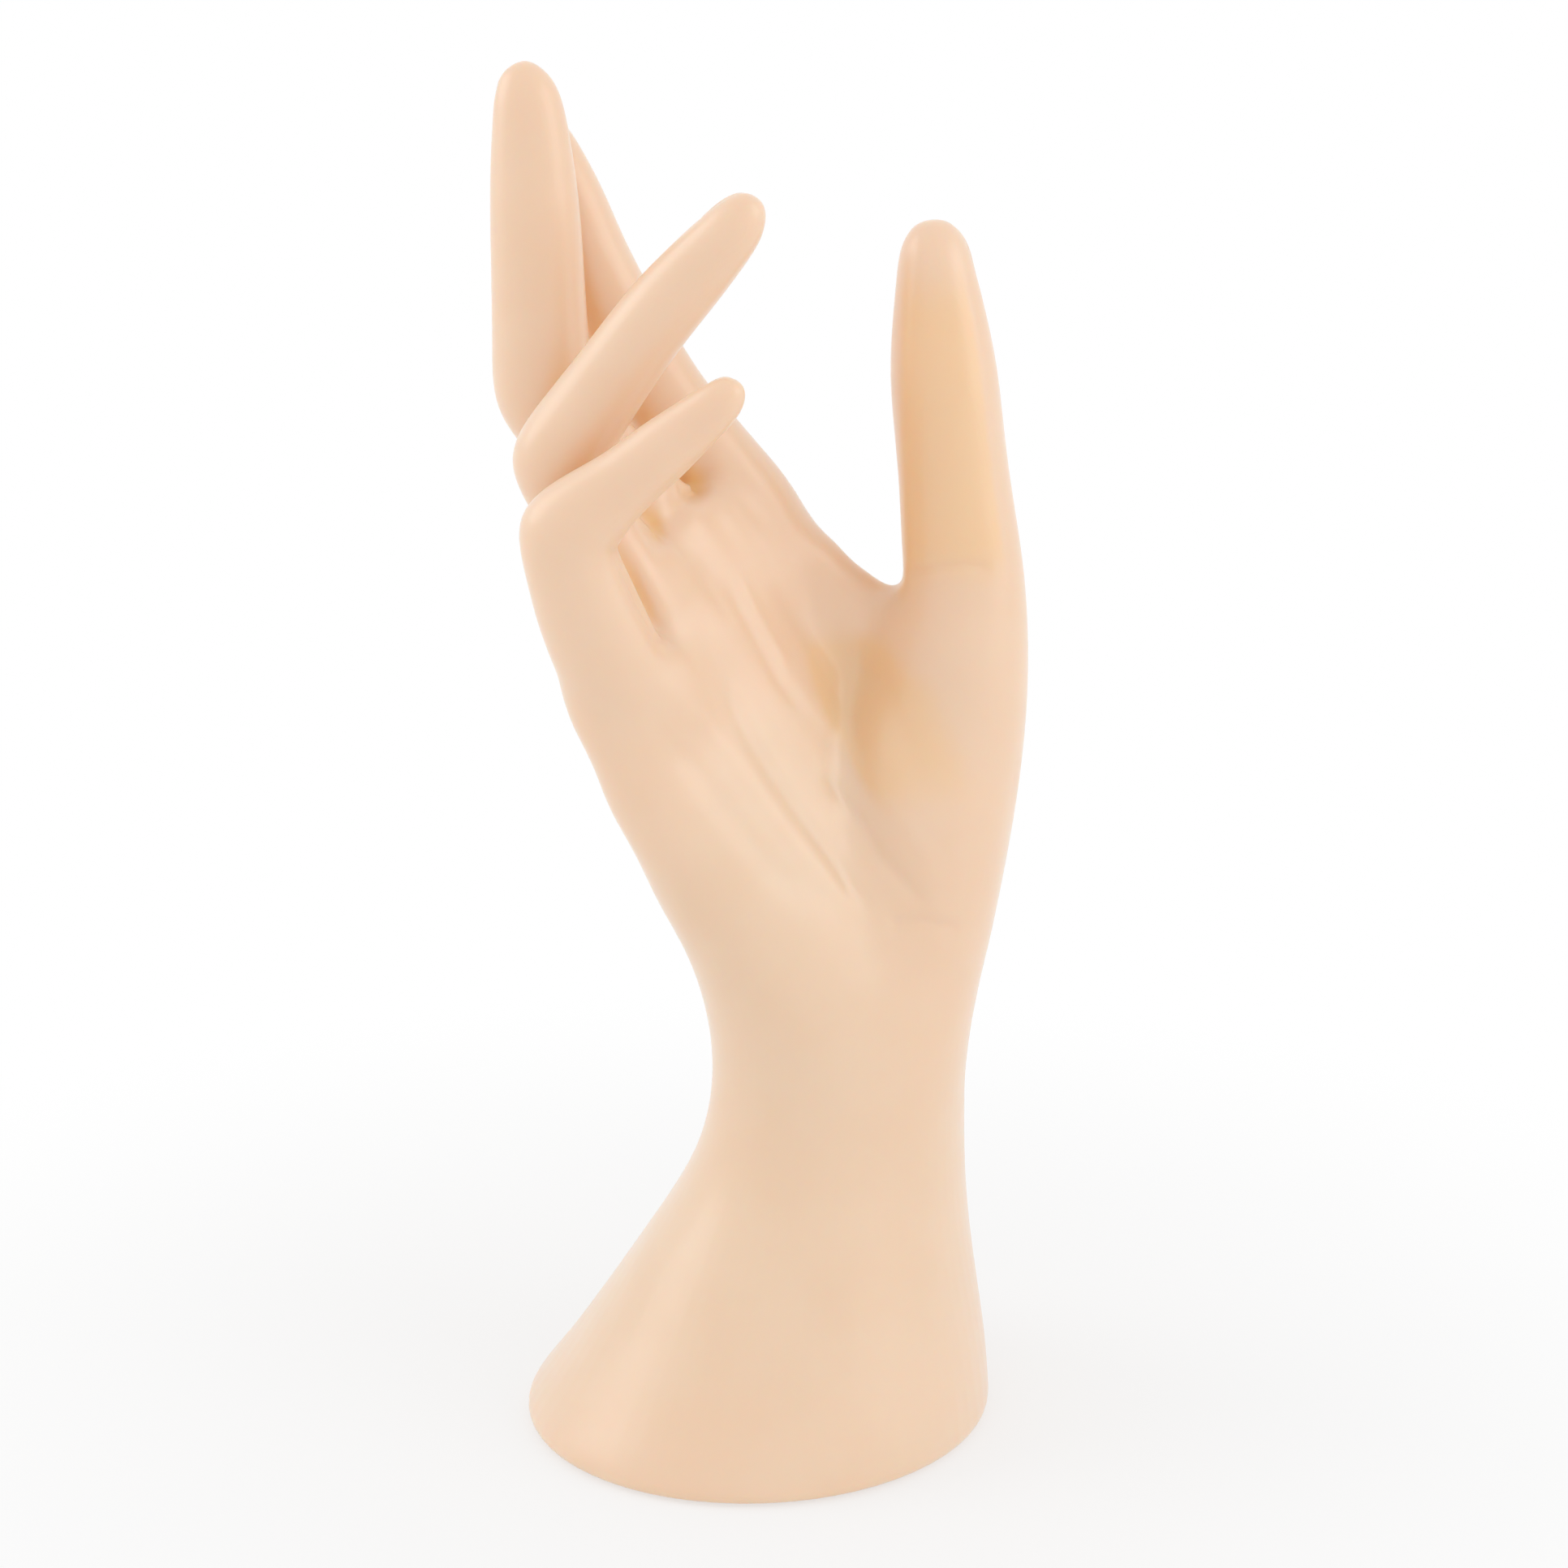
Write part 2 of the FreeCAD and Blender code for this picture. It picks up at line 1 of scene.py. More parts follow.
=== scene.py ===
import math
import bpy
import numpy as np
import openvdb as vdb
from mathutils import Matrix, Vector


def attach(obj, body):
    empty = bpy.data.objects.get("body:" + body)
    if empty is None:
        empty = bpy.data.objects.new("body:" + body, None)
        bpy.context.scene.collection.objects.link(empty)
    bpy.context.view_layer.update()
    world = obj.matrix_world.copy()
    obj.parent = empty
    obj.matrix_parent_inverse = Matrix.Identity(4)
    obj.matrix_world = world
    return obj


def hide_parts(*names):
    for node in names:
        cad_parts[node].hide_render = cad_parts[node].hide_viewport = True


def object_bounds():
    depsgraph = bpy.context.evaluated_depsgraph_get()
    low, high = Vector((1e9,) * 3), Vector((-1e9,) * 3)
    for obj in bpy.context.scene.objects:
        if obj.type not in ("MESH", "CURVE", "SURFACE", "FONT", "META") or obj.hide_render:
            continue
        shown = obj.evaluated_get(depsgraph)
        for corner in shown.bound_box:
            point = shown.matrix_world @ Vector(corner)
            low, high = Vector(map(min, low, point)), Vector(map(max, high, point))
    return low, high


# A life-size display hand in satin flesh-coloured plastic. The skin is grown from the same rings as the
# solid hand's, joined softly, then given its folds, creases and nails. Shapes are worked out in
# millimetres and turned into metres when a mesh is made, and angles are in degrees.
MM_PER_METRE = 1000

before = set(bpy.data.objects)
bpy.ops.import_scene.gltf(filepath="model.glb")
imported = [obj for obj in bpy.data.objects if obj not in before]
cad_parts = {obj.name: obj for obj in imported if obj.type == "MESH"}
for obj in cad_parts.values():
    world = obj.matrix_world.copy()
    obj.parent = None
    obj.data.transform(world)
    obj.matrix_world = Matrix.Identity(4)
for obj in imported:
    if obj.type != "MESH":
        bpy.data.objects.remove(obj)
cad_low, cad_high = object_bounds()

# Foot, wrist and palm
FOOT_WIDTH = 92.4
FOOT_DEPTH = 88.6
FOOT_TURN_ANGLE = 42.0
FOOT_EDGE_RADIUS = 2.6
RIM_LIFT = 0.5
RIM_WALL = 3.2
LEDGE_WIDTH = 2.0
LEDGE_HEIGHT = 5.5
WALL = 3.0
CAVITY_DOME = 7.0
WRIST_HEIGHT = 67.0
WRIST_SHIFT = 15.9
WRIST_WIDTH = 51.0
WRIST_THICKNESS = 40.0
WRIST_TURN_ANGLE = 32.0
KNUCKLE_HEIGHT = 150.0
KNUCKLE_SHIFT = -10.1
KNUCKLE_REACH = -3.5
PALM_WIDTH = 67.8
PALM_THICKNESS = 23.5
PALM_HOLLOW = 2.4
PALM_END = 13.0
PALM_TURN_ANGLE = 52.0
PALM_TILT_ANGLE = 31.0
ROUND_POWER = 2.0
PALM_POWER = 2.3
DIGIT_POWER = 2.1

# Fingers: place across the palm, way forward, bones, rises, leans, thickness, breadth and taper
FINGERS = {
    "little": (-0.64, 3.6, (36.0, 22.5, 18.6), (107.4, 39.5, 40.0), (-12.0, -11.0, -12.0),
               14.6, 12.6, (1.38, 1.10, 0.78, 0.57)),
    "ring": (-0.19, 4.5, (42.0, 32.0, 27.4), (120.2, 53.5, 47.5), (-7.0, -12.0, -13.0),
             15.4, 15.0, (1.12, 1.04, 0.87, 0.70)),
    "middle": (0.26, 6.5, (48.2, 31.0, 26.7), (130.3, 91.0, 92.2), (0.0, -2.0, -2.0),
               18.4, 16.0, (1.02, 1.00, 0.89, 0.70)),
    "index": (0.80, 5.5, (37.3, 25.6, 27.5), (127.2, 116.4, 112.0), (1.5, 0.0, -1.0),
              17.0, 15.2, (1.16, 1.01, 0.89, 0.77)),
}
THUMB_BONES = (76.8, 39.5, 29.0)
THUMB_SIZE = 20.0
THUMB_SHIFT = 9.4
THUMB_REACH = 3.5
THUMB_START = 17.0
THUMB_HEEL = 22.0
THUMB_RISES = (80.0, 96.5, 95.0)
THUMB_LEANS = (-1.0, 3.0, 3.5)
THUMB_TAPER = (1.66, 1.00, 0.95, 0.71)
WEB_THICKNESS = 27.0
WEB_DEPTH = 16.0
WEB_SAG = 15.2
WEB_BOW = 2.4

# Shares of the sizes above, row by row along each form. The foot's edge: rise and inset
EDGE_SHARES = ((0.0, 0.40), (0.25, 0.0), (1.0, 0.0))
# From the foot to the wrist: way up, way aside, and how far the foot has slimmed
FLARE_SHARES = (
    (0.14, 0.15, 0.13), (0.265, 0.31, 0.29), (0.57, 0.63, 0.68), (0.79, 0.90, 0.925), (1.0, 1.0, 1.0))
# From the wrist to the knuckles: ways up and aside, changes of width, thickness, turn and tilt, and hollow
PALM_SHARES = (
    (0.18, 0.02, 0.10, 0.08, 0.20, 0.13, 0.0),
    (0.37, 0.13, 0.34, 0.23, 0.50, 0.32, 0.5),
    (0.58, 0.375, 0.60, 0.46, 0.70, 0.55, 1.0),
    (0.80, 0.675, 0.85, 0.74, 0.90, 0.80, 1.0),
    (1.00, 1.00, 0.76, 1.00, 1.00, 1.00, 0.6))
# The palm's rounded end: way on, width and thickness, then how far it leans back
END_SHARES = ((0.45, 0.92, 0.92), (0.80, 0.83, 0.76), (1.0, 0.70, 0.48), (1.0, 0.30, 0.16))
END_LEAN_SHARE = 0.45
# Digits: bone, way along it, stage of the taper, and thickness and breadth of that
FINGER_SHARES = (
    (0, 0.00, 0, 1.04, 1.03), (0, 0.45, 0, 0.90, 0.93), (0, 0.80, 1, 0.95, 0.97), (1, 0.00, 1, 1.00, 1.00),
    (1, 0.26, 1, 0.95, 0.96), (1, 0.62, 2, 1.02, 0.98), (2, 0.00, 2, 0.99, 1.01), (2, 0.35, 3, 1.16, 1.08))
THUMB_SHARES = (
    (0, 0.00, 0, 1.00, 0.97), (0, 0.25, 0, 1.03, 1.03), (0, 0.55, 0, 1.01, 0.94), (0, 0.80, 0, 0.90, 0.79),
    (1, 0.00, 1, 1.12, 1.04), (1, 0.25, 1, 1.09, 0.99), (1, 0.62, 2, 1.04, 1.00), (2, 0.00, 2, 1.06, 1.00),
    (2, 0.35, 3, 1.24, 1.12))
# A digit's rounded tip: way on and size, then the tip's length, and its lift to the nail's side
TIP_SHARES = ((0.0, 1.0), (0.45, 0.89), (0.80, 0.65), (0.99, 0.36), (1.0, 0.08))
TIP_LENGTH_SHARE = 0.32
TIP_LIFT = 0.8
MIDDLE_TIP_LIFT = 2.3
# Where a finger starts inside the palm, and the sizes that fingers and thumb start with
ROOT_LENGTH_SHARE = 0.55
ROOT_SPREAD_SHARE = 0.80
INDEX_ROOT_SPREAD_SHARE = 0.52
ROOT_SIZE_SHARE = 0.42
HEEL_SIZE_SHARE = 0.95
# The least that a bend's cosine counts as, where a ring is widened
MITRE_LEAST_SHARE = 0.70
# The fold by the thumb: way along it, sag, bow, thickness and depth
WEB_SHARES = (
    (-0.20, 0.90, -3.2, 0.62, 0.62), (0.00, 0.58, -0.4, 0.90, 0.86), (0.25, 0.80, 0.5, 1.00, 0.86),
    (0.45, 1.04, 0.90, 0.96, 0.84), (0.66, 1.10, 0.50, 0.93, 0.84), (0.89, 0.85, 0.25, 0.74, 0.84))
# Rows of the skin between two fingers' roots: way along it, and size
CLEFT_SHARES = ((0.0, 0.8), (0.35, 1.0), (0.7, 1.0), (0.88, 0.86), (0.97, 0.55), (1.0, 0.2))
RING_COUNT = 16

# Skin between the fingers' roots: the two fingers, where it ends on their first bones, thickness,
# breadth and how far it lies to the palm's side
CLEFTS = (
    ("index", "middle", 0.42, 15.0, 11.4, 1.4), ("middle", "ring", 0.44, 15.0, 11.4, 1.4),
    ("ring", "little", 0.20, 15.0, 15.0, 3.4))
# Where it starts, before the fingers' roots, and how deep under the palm
CLEFT_START_SHARE = -0.35
CLEFT_SINK = 8.0

# Over what reach the forms run softly into each other
WEB_BLEND = 5.0
THUMB_BLEND = 6.0
FINGER_BLEND = 1.0
CLEFT_BLEND = 5.0
ROOT_BLEND = 5.0

# Lines on the palm, followed on the photo in its pixels: height in millimetres, a groove's below 0,
# half width in millimetres and the line
PALM_LINES = (
    (-0.40, 1.7, ((888, 826), (904, 868), (919, 899), (951, 952), (983, 999), (1015, 1042), (1046, 1089),
                  (1083, 1126))),
    (-0.25, 1.4, ((893, 704), (904, 732), (930, 783), (962, 841), (992, 880))),
    (-0.40, 1.5, ((1012, 944), (1022, 960), (1057, 1005), (1083, 1052), (1131, 1105), (1150, 1122))),
    (0.30, 2.0, ((798, 825), (872, 888), (930, 966), (983, 1036), (1030, 1092), (1062, 1137))),
    (0.20, 1.8, ((975, 828), (1004, 868), (1050, 930), (1098, 990), (1140, 1050), (1158, 1110))),
    (-0.32, 2.6, ((793, 872), (856, 946), (925, 1036), (999, 1121))),
    (0.16, 1.2, ((905, 700), (945, 778), (975, 826))),
    (-0.35, 1.3, ((1090, 1140), (1135, 1134), (1186, 1146))),
    (-0.4, 1.1, ((1112, 706), (1150, 697), (1190, 694), (1226, 700))))
# The share of a line over which each end fades, and the most that is carved out anywhere
LINE_ENDS = 0.16
DEEPEST_LINE = 1.9
# Deep folds under the curled fingers, in the same way, how they fade and how much painted shade they lay
# into the colour
FOLD_LINES = (
    (-0.9, 2.0, ((750, 650), (770, 694), (796, 750), (826, 812))),
    (-0.6, 1.8, ((792, 612), (806, 646), (826, 692))),
    (-1.5, 2.6, ((806, 656), (834, 626), (858, 596), (884, 562))))
FOLD_ENDS = 0.45
FOLD_PAINTED_SHADE = 0.26
# Low mounds and dips that even out the outline: place, radius across and up, and height, then their
# radius from front to back
MOUNDS = (
    ((-39.0, -22, 162.0), 12.0, 1.3), ((-34.0, -16, 141.5), 8.0, -0.8), ((-26.5, -9, 125.0), 8.0, 1.0),
    ((-18.5, -5, 107.0), 9.0, 0.8), ((9.8, 13, 170.8), 7.5, 1.6), ((17.2, 10, 164.0), 5.0, -0.7),
    ((22.5, 10, 160.2), 5.0, -0.5))
MOUND_REACH = 18.0
# The hollow beside the thumb's ball: its edge, followed on the photo in its pixels, its depth, then how
# far right of the edge and at which rows of the photo it comes, is whole, and goes again
HOLLOW_EDGE = ((950, 690), (1003, 790), (1056, 880), (1104, 985), (1150, 1080))
HOLLOW_DEPTH = 1.7
HOLLOW_ACROSS = (-6, 46, 70, 185)
HOLLOW_DOWN = (768, 850, 900, 1025)
# How much painted shade the hollow lays into the colour, and where, in the same way
HOLLOW_PAINTED_SHADE = 0.36
HOLLOW_SHADE_ACROSS = (-50, 5, 65, 170)
HOLLOW_SHADE_DOWN = (740, 860, 930, 1110)

# How deep below the outer skin's field a point still counts as outer skin, from not at all to wholly,
# and the same for how much it faces the camera
OUTER_SKIN = (-1.6, -0.6)
CAMERA_FACING = (0.05, 0.35)

# Nails: length, width and way back from the tip as shares of the digit's breadth at its tip, and the
# corner radius as a share of the nail's half width
NAIL_LENGTH_SHARE = 0.92
NAIL_WIDTH_SHARE = 0.66
NAIL_BACK_SHARE = 0.10
NAIL_CORNER_SHARE = 0.62
# The ways that the nails face, and how much of it a place must face for a nail, from not at all to wholly
FINGER_NAIL_SIDE = (-0.72, 0.69, 0.0)
THUMB_NAIL_SIDE = (0.74, 0.67, 0.0)
NAIL_FACING = (0.35, 0.7)
NAIL_REACH_LENGTHS = 3
# The plate's rise and where it ends about the border, then the groove's depth, its place outside the
# border, its half width, and the share of it that is lost towards the tip
NAIL_RISE = 0.12
NAIL_BORDER = (-0.5, 0.3)
NAIL_GROOVE = 0.28
GROOVE_PLACE = 0.25
GROOVE_HALF_WIDTH = 0.5
GROOVE_LOSS_SHARE = 0.75

# Crowding, how closely the hand closes round a place, which becomes painted shade in the gaps: grid step,
# margin in steps, then for each level its passes of softening, its reach before the skin and its weight, and
# the most that it and the hollow's painted shade come to
CROWD_STEP = 3.0
CROWD_MARGIN = 14
CROWD_LEVELS = ((11, 8.0, 1.0), (43, 18.0, 0.25))
PAINTED_SHADE_MOST = 0.48
# What deepens the colour further: towards the bottom of the foot, and painted shade on the thumb's side that
# faces the palm, away from the light
FOOT_DEEPENING = 0.20
FOOT_DEEPENING_RISE = (8.0, 62.0)
THUMB_PAINTED_SHADE = 0.40
THUMB_SHADE_SIDE = (24.0, 27.0)
THUMB_SHADE_RISE = (150.0, 172.0, 210.0, 236.0)
THUMB_PALM_SIDE = (-0.5, -0.87, 0.0)
THUMB_SHADE_FACING = (0.10, 0.50)

# The skin's plastic: its colours, the last the deep orange of painted shade, the range over which that
# painted shade comes in, and its gloss
PLASTIC = (0.885, 0.624, 0.432)
PLASTIC_PALE = (0.895, 0.644, 0.455)
PAINTED_SHADE_ORANGE = (0.920, 0.575, 0.240)
PAINTED_SHADE_RANGE = (0.30, 0.72)
PLASTIC_MIDDLE_ROUGHNESS = 0.42
PLASTIC_ROUGHNESS = (0.36, 0.47)
MOTTLE_WAVES = 45
GLOSS_WAVES = 160
SCATTER_WEIGHT = 0.45
SCATTER_RADIUS = (1.0, 0.5, 0.25)
SCATTER_SCALE = 0.004
COAT_WEIGHT = 0.8
COAT_ROUGHNESS = 0.28
# Its grain, coarse and fine: waves per metre, strength, and depth in metres
GRAIN = (120, 0.12, 0.0004)
FINE_GRAIN = (1500, 0.10, 0.0001)
GRAIN_DETAIL = 2

# The other pieces: material, two colours, their waves per metre, two roughnesses, the relief's waves per
# metre, strength and depth in metres, how metallic it is, and the relief's pattern
FINISHES = {
    "base_plate": ("plate_plastic", (0.80, 0.56, 0.41), (0.84, 0.60, 0.45), 60, (0.42, 0.55),
                   1400, 0.2, 0.0001, 0.0, "ShaderNodeTexNoise"),
    "ballast_weight": ("cast_iron", (0.045, 0.045, 0.05), (0.105, 0.095, 0.085), 110, (0.5, 0.78),
                       520, 0.7, 0.0005, 0.6, "ShaderNodeTexNoise"),
    "ballast_screws": ("zinc_plate", (0.58, 0.59, 0.62), (0.70, 0.70, 0.71), 700, (0.24, 0.42),
                       2600, 0.15, 0.00005, 1.0, "ShaderNodeTexNoise"),
    "foot_pad": ("foam_rubber", (0.020, 0.020, 0.023), (0.034, 0.034, 0.036), 300, (0.82, 0.95),
                 1700, 0.6, 0.0003, 0.0, "ShaderNodeTexVoronoi"),
}
# Between which values of a noise the colours and the roughnesses change over
TONE_RANGE = (0.35, 0.65)
GLOSS_RANGE = (0.3, 0.7)
TONE_DETAIL = 4
GLOSS_DETAIL = 3
GLOSS_WAVES_RATIO = 3

# Distance fields: grid step, band round a wall, margin in steps, and the band that is meshed
VOXEL = 0.5
BAND = 9.0
GRID_MARGIN = 8
MESH_BAND = 3 * VOXEL
TUBE_SIDES = 64
TUBE_STEPS = 160
# How near the seat's wall or ledge a point is set onto it, and how far below the ledge the wall ends
SEAT_CATCH = 0.6 * VOXEL
SEAT_CORNER = 0.2 * VOXEL
TINY = 1e-9

# Camera, which looks along +Y and a little down
CAMERA_PLACE = np.array((4.97, -487.0, 236.9))
CAMERA_DOWN_ANGLE = 13.0
SENSOR_WIDTH = 36.0
LENS = 61.35
NEAREST_SEEN = 0.01
PHOTO_SIZE = 1932

# Floor and light: the floor's half side is in millimetres, and its glow comes up with the distance from
# the foot, in metres as the lamps' places are
FLOOR_REACH = 3000.0
FLOOR_COLOUR = (0.86, 0.86, 0.86)
FLOOR_ROUGHNESS = 0.9
FLOOR_FADE = (0.05, 0.28)
FLOOR_GLOW = (0.6, 1.0)
LAMPS = {"left": ((-1.2, 0.0, 0.8), 3.2), "right": ((1.1, -0.5, 0.7), 2.9)}
LAMP_AIM = (0, 0, 0.13)
LAMP_SIZE = 1.0
WORLD_LEVEL = (0.67, 1.0)


def unit(vector):
    """The vector at length 1."""
    return vector / np.linalg.norm(vector)


def mix(a, b, share):
    """The value that lies that share of the way from a to b."""
    return a + (b - a) * share


def square_to(vector, direction):
    """The part of a vector that is square to a unit direction, as a unit vector."""
    return unit(vector - direction * (vector @ direction))


def heading(rise, lean):
    """A direction that rises from +X in the upright plane and leans out of it towards +Y."""
    rise, lean = math.radians(rise), math.radians(lean)
    return np.array((math.cos(rise) * math.cos(lean), math.sin(lean), math.sin(rise) * math.cos(lean)))


def palm_axes(turn, tilt):
    """Across the palm to the thumb's side, out of its hollow side, and onwards to the fingers."""
    turn, tilt = math.radians(turn), math.radians(tilt)
    across = np.array((math.cos(tilt) * math.cos(turn), math.cos(tilt) * math.sin(turn), math.sin(tilt)))
    outward = np.array((math.sin(turn), -math.cos(turn), 0.0))
    return across, outward, np.cross(outward, across)


def ring(centre, across, outward, width, thickness, power, hollow=0.0):
    """Points round a cross-section: an oval, squarer with a higher power, hollowed on its outward side."""
    angle = 2 * np.pi * np.arange(RING_COUNT) / RING_COUNT
    side, out = np.cos(angle), np.sin(angle)
    along = width / 2 * np.sign(side) * np.abs(side) ** (2 / power)
    away = thickness / 2 * np.sign(out) * np.abs(out) ** (2 / power) - hollow * np.maximum(out, 0) ** 3
    return np.asarray(centre) + along[:, None] * across + away[:, None] * outward


def flare_sections():
    """Cross-sections from the foot up to the wrist."""
    sections = []
    for up, side, slim in FLARE_SHARES:
        across, outward, _ = palm_axes(mix(FOOT_TURN_ANGLE, WRIST_TURN_ANGLE, slim), 0)
        width = mix(FOOT_WIDTH, WRIST_WIDTH, slim)
        thickness = mix(FOOT_DEPTH, WRIST_THICKNESS, slim)
        centre = (side * WRIST_SHIFT, 0, up * WRIST_HEIGHT)
        sections.append((centre, across, outward, width, thickness, ROUND_POWER, 0))
    return sections


def palm_sections():
    """Cross-sections from the wrist up to the knuckles."""
    sections = []
    for up, side, wide, thick, turn, tilt, hollow in PALM_SHARES:
        across, outward, _ = palm_axes(mix(WRIST_TURN_ANGLE, PALM_TURN_ANGLE, turn), PALM_TILT_ANGLE * tilt)
        width = mix(WRIST_WIDTH, PALM_WIDTH, wide)
        thickness = mix(WRIST_THICKNESS, PALM_THICKNESS, thick)
        centre = (mix(WRIST_SHIFT, KNUCKLE_SHIFT, side), KNUCKLE_REACH * up,
                  mix(WRIST_HEIGHT, KNUCKLE_HEIGHT, up))
        power = mix(ROUND_POWER, PALM_POWER, turn)
        sections.append((centre, across, outward, width, thickness, power, hollow * PALM_HOLLOW))
    return sections


def palm_place(across_share, forward):
    """A point at the knuckles: a share of the palm's half width, and a way on towards the fingers."""
    across, _, onward = palm_axes(PALM_TURN_ANGLE, PALM_TILT_ANGLE)
    knuckles = np.array((KNUCKLE_SHIFT, KNUCKLE_REACH, KNUCKLE_HEIGHT))
    return knuckles + across * across_share * PALM_WIDTH / 2 + onward * forward


def body_rings():
    """Rings of the foot, the wrist and the palm with its rounded end."""
    across, outward, _ = palm_axes(FOOT_TURN_ANGLE, 0)
    sections = []
    for rise, inset in EDGE_SHARES:
        width, depth = (size - 2 * inset * FOOT_EDGE_RADIUS for size in (FOOT_WIDTH, FOOT_DEPTH))
        centre = (0, 0, RIM_LIFT + rise * FOOT_EDGE_RADIUS)
        sections.append((centre, across, outward, width, depth, ROUND_POWER, 0))
    sections += flare_sections() + palm_sections()
    across, outward, _ = palm_axes(PALM_TURN_ANGLE, PALM_TILT_ANGLE)
    for way, wide, thick in END_SHARES:
        centre = palm_place(0, way * PALM_END) - outward * END_LEAN_SHARE * way * PALM_END
        sections.append((centre, across, outward, wide * PALM_WIDTH, thick * PALM_THICKNESS, PALM_POWER, 0))
    return [ring(*section) for section in sections]


def tube_rings(places, sizes, hint):
    """Rings square to a path, their breadth along the hint, widened where the path bends."""
    rings = []
    for i, place in enumerate(places):
        before = places[max(i - 1, 0)]
        after = places[min(i + 1, len(places) - 1)]
        leaving = unit(after - (place if i < len(places) - 1 else before))
        arriving = unit(place - before) if i > 0 else leaving
        direction = unit(arriving + leaving)
        mitre = 1 / max(MITRE_LEAST_SHARE, direction @ arriving)
        breadth_way = square_to(hint, direction)
        thickness, breadth = sizes[i]
        thickness_way = np.cross(direction, breadth_way)
        rings.append(ring(place, breadth_way, thickness_way, breadth, thickness * mitre, DIGIT_POWER))
    return rings


def digit_joints(root, bones, rises, leans):
    """The points where a digit's bones meet, from its root to its tip."""
    joints = [root]
    for length, rise, lean in zip(bones, rises, leans):
        joints.append(joints[-1] + heading(rise, lean) * length)
    return joints


def digit_rings(start, start_share, joints, rises, leans, thickness, breadth, taper, rows, lift):
    """Rings of one digit: from its start inside the hand, along its bones, to a rounded tip."""
    places = [start]
    size = taper[0] * start_share
    sizes = [(thickness * size, breadth * size)]
    for bone, along, stage, thick, broad in rows:
        places.append(mix(joints[bone], joints[bone + 1], along))
        sizes.append((thickness * taper[stage] * thick, breadth * taper[stage] * broad))
    nail_side = heading(rises[2] + 90, 0) * lift
    for way, size in TIP_SHARES:
        places.append(mix(joints[3], joints[2], TIP_LENGTH_SHARE * (1 - way)) + nail_side * way ** 2)
        sizes.append((thickness * taper[3] * size, breadth * taper[3] * size))
    return tube_rings(places, sizes, square_to(np.array((0.0, 1.0, 0.0)), heading(rises[1], leans[1])))


def finger_joints(name):
    """The points where a finger's bones meet, from its knuckle to its tip."""
    across_share, forward, bones, rises, leans = FINGERS[name][:5]
    return digit_joints(palm_place(across_share, forward), bones, rises, leans)


def finger_rings(name):
    """Rings of a finger, the first inside the palm along its own direction."""
    across_share, forward, bones, rises, leans, thickness, breadth, taper = FINGERS[name]
    spread = INDEX_ROOT_SPREAD_SHARE if name == "index" else ROOT_SPREAD_SHARE
    start = palm_place(across_share * spread, forward - ROOT_LENGTH_SHARE * bones[0])
    lift = MIDDLE_TIP_LIFT if name == "middle" else TIP_LIFT
    return digit_rings(start, ROOT_SIZE_SHARE, finger_joints(name), rises, leans, thickness, breadth, taper,
                       FINGER_SHARES, lift)


def thumb_joints():
    """The points where the thumb's bones meet, from the wrist to its tip."""
    root = np.array((WRIST_SHIFT + THUMB_SHIFT, THUMB_REACH, WRIST_HEIGHT + THUMB_START))
    return digit_joints(root, THUMB_BONES, THUMB_RISES, THUMB_LEANS)


def thumb_rings():
    """Rings of the thumb and its ball, the first down in the wrist."""
    joints = thumb_joints()
    start = joints[0] - np.array((THUMB_SHIFT, THUMB_REACH, THUMB_HEEL))
    return digit_rings(start, HEEL_SIZE_SHARE, joints, THUMB_RISES, THUMB_LEANS, THUMB_SIZE, THUMB_SIZE,
                       THUMB_TAPER, THUMB_SHARES, 0)


def web_rings():
    """Rings of the fold of skin that sags from the index finger's knuckle to the thumb's."""
    start = palm_place(FINGERS["index"][0], FINGERS["index"][1])
    end = thumb_joints()[1]
    places, sizes = [], []
    for way, sag, bow, thick, deep in WEB_SHARES:
        places.append(mix(start, end, way) + np.array((0, bow * WEB_BOW, -sag * WEB_SAG)))
        sizes.append((thick * WEB_THICKNESS, deep * WEB_DEPTH))
    return tube_rings(places, sizes, np.cross((0, 0, 1), unit(end - start)))


def cleft_rings(first, second, reach, thickness, breadth, lift):
    """Rings of the skin between two fingers, from inside the palm to its end between their bones."""
    bones = [finger_joints(name)[:2] for name in (first, second)]
    outward = palm_axes(PALM_TURN_ANGLE, PALM_TILT_ANGLE)[1]
    places, sizes = [], []
    for way, size in CLEFT_SHARES:
        share = mix(CLEFT_START_SHARE, reach, way)
        middle = sum(mix(root, joint, share) for root, joint in bones) / 2
        places.append(middle + outward * (lift - CLEFT_SINK * (1 - way) ** 2))
        sizes.append((size * thickness, size * breadth))
    return tube_rings(places, sizes, bones[0][0] - bones[1][0])


def cavity_rings():
    """Rings of the hollow inside the skin: the flare, the wrist and the lower palm."""
    across, outward, _ = palm_axes(FOOT_TURN_ANGLE, 0)
    mouth = FOOT_DEPTH - 2 * (RIM_WALL + LEDGE_WIDTH)
    rings = [ring((0, 0, height), across, outward, mouth, mouth, ROUND_POWER)
             for height in (LEDGE_HEIGHT - WALL / 2, LEDGE_HEIGHT)]
    inner = flare_sections()[1:] + palm_sections()[:-1]
    for centre, across, outward, width, thickness, power, hollow in inner:
        rings.append(ring(centre, across, outward, width - 2 * WALL, thickness - 2 * WALL, power, hollow))
    top = np.asarray(centre) + np.cross(outward, across) * CAVITY_DOME
    rings.append(ring(top, across, outward, width / 2, thickness / 2 - WALL, power))
    return rings


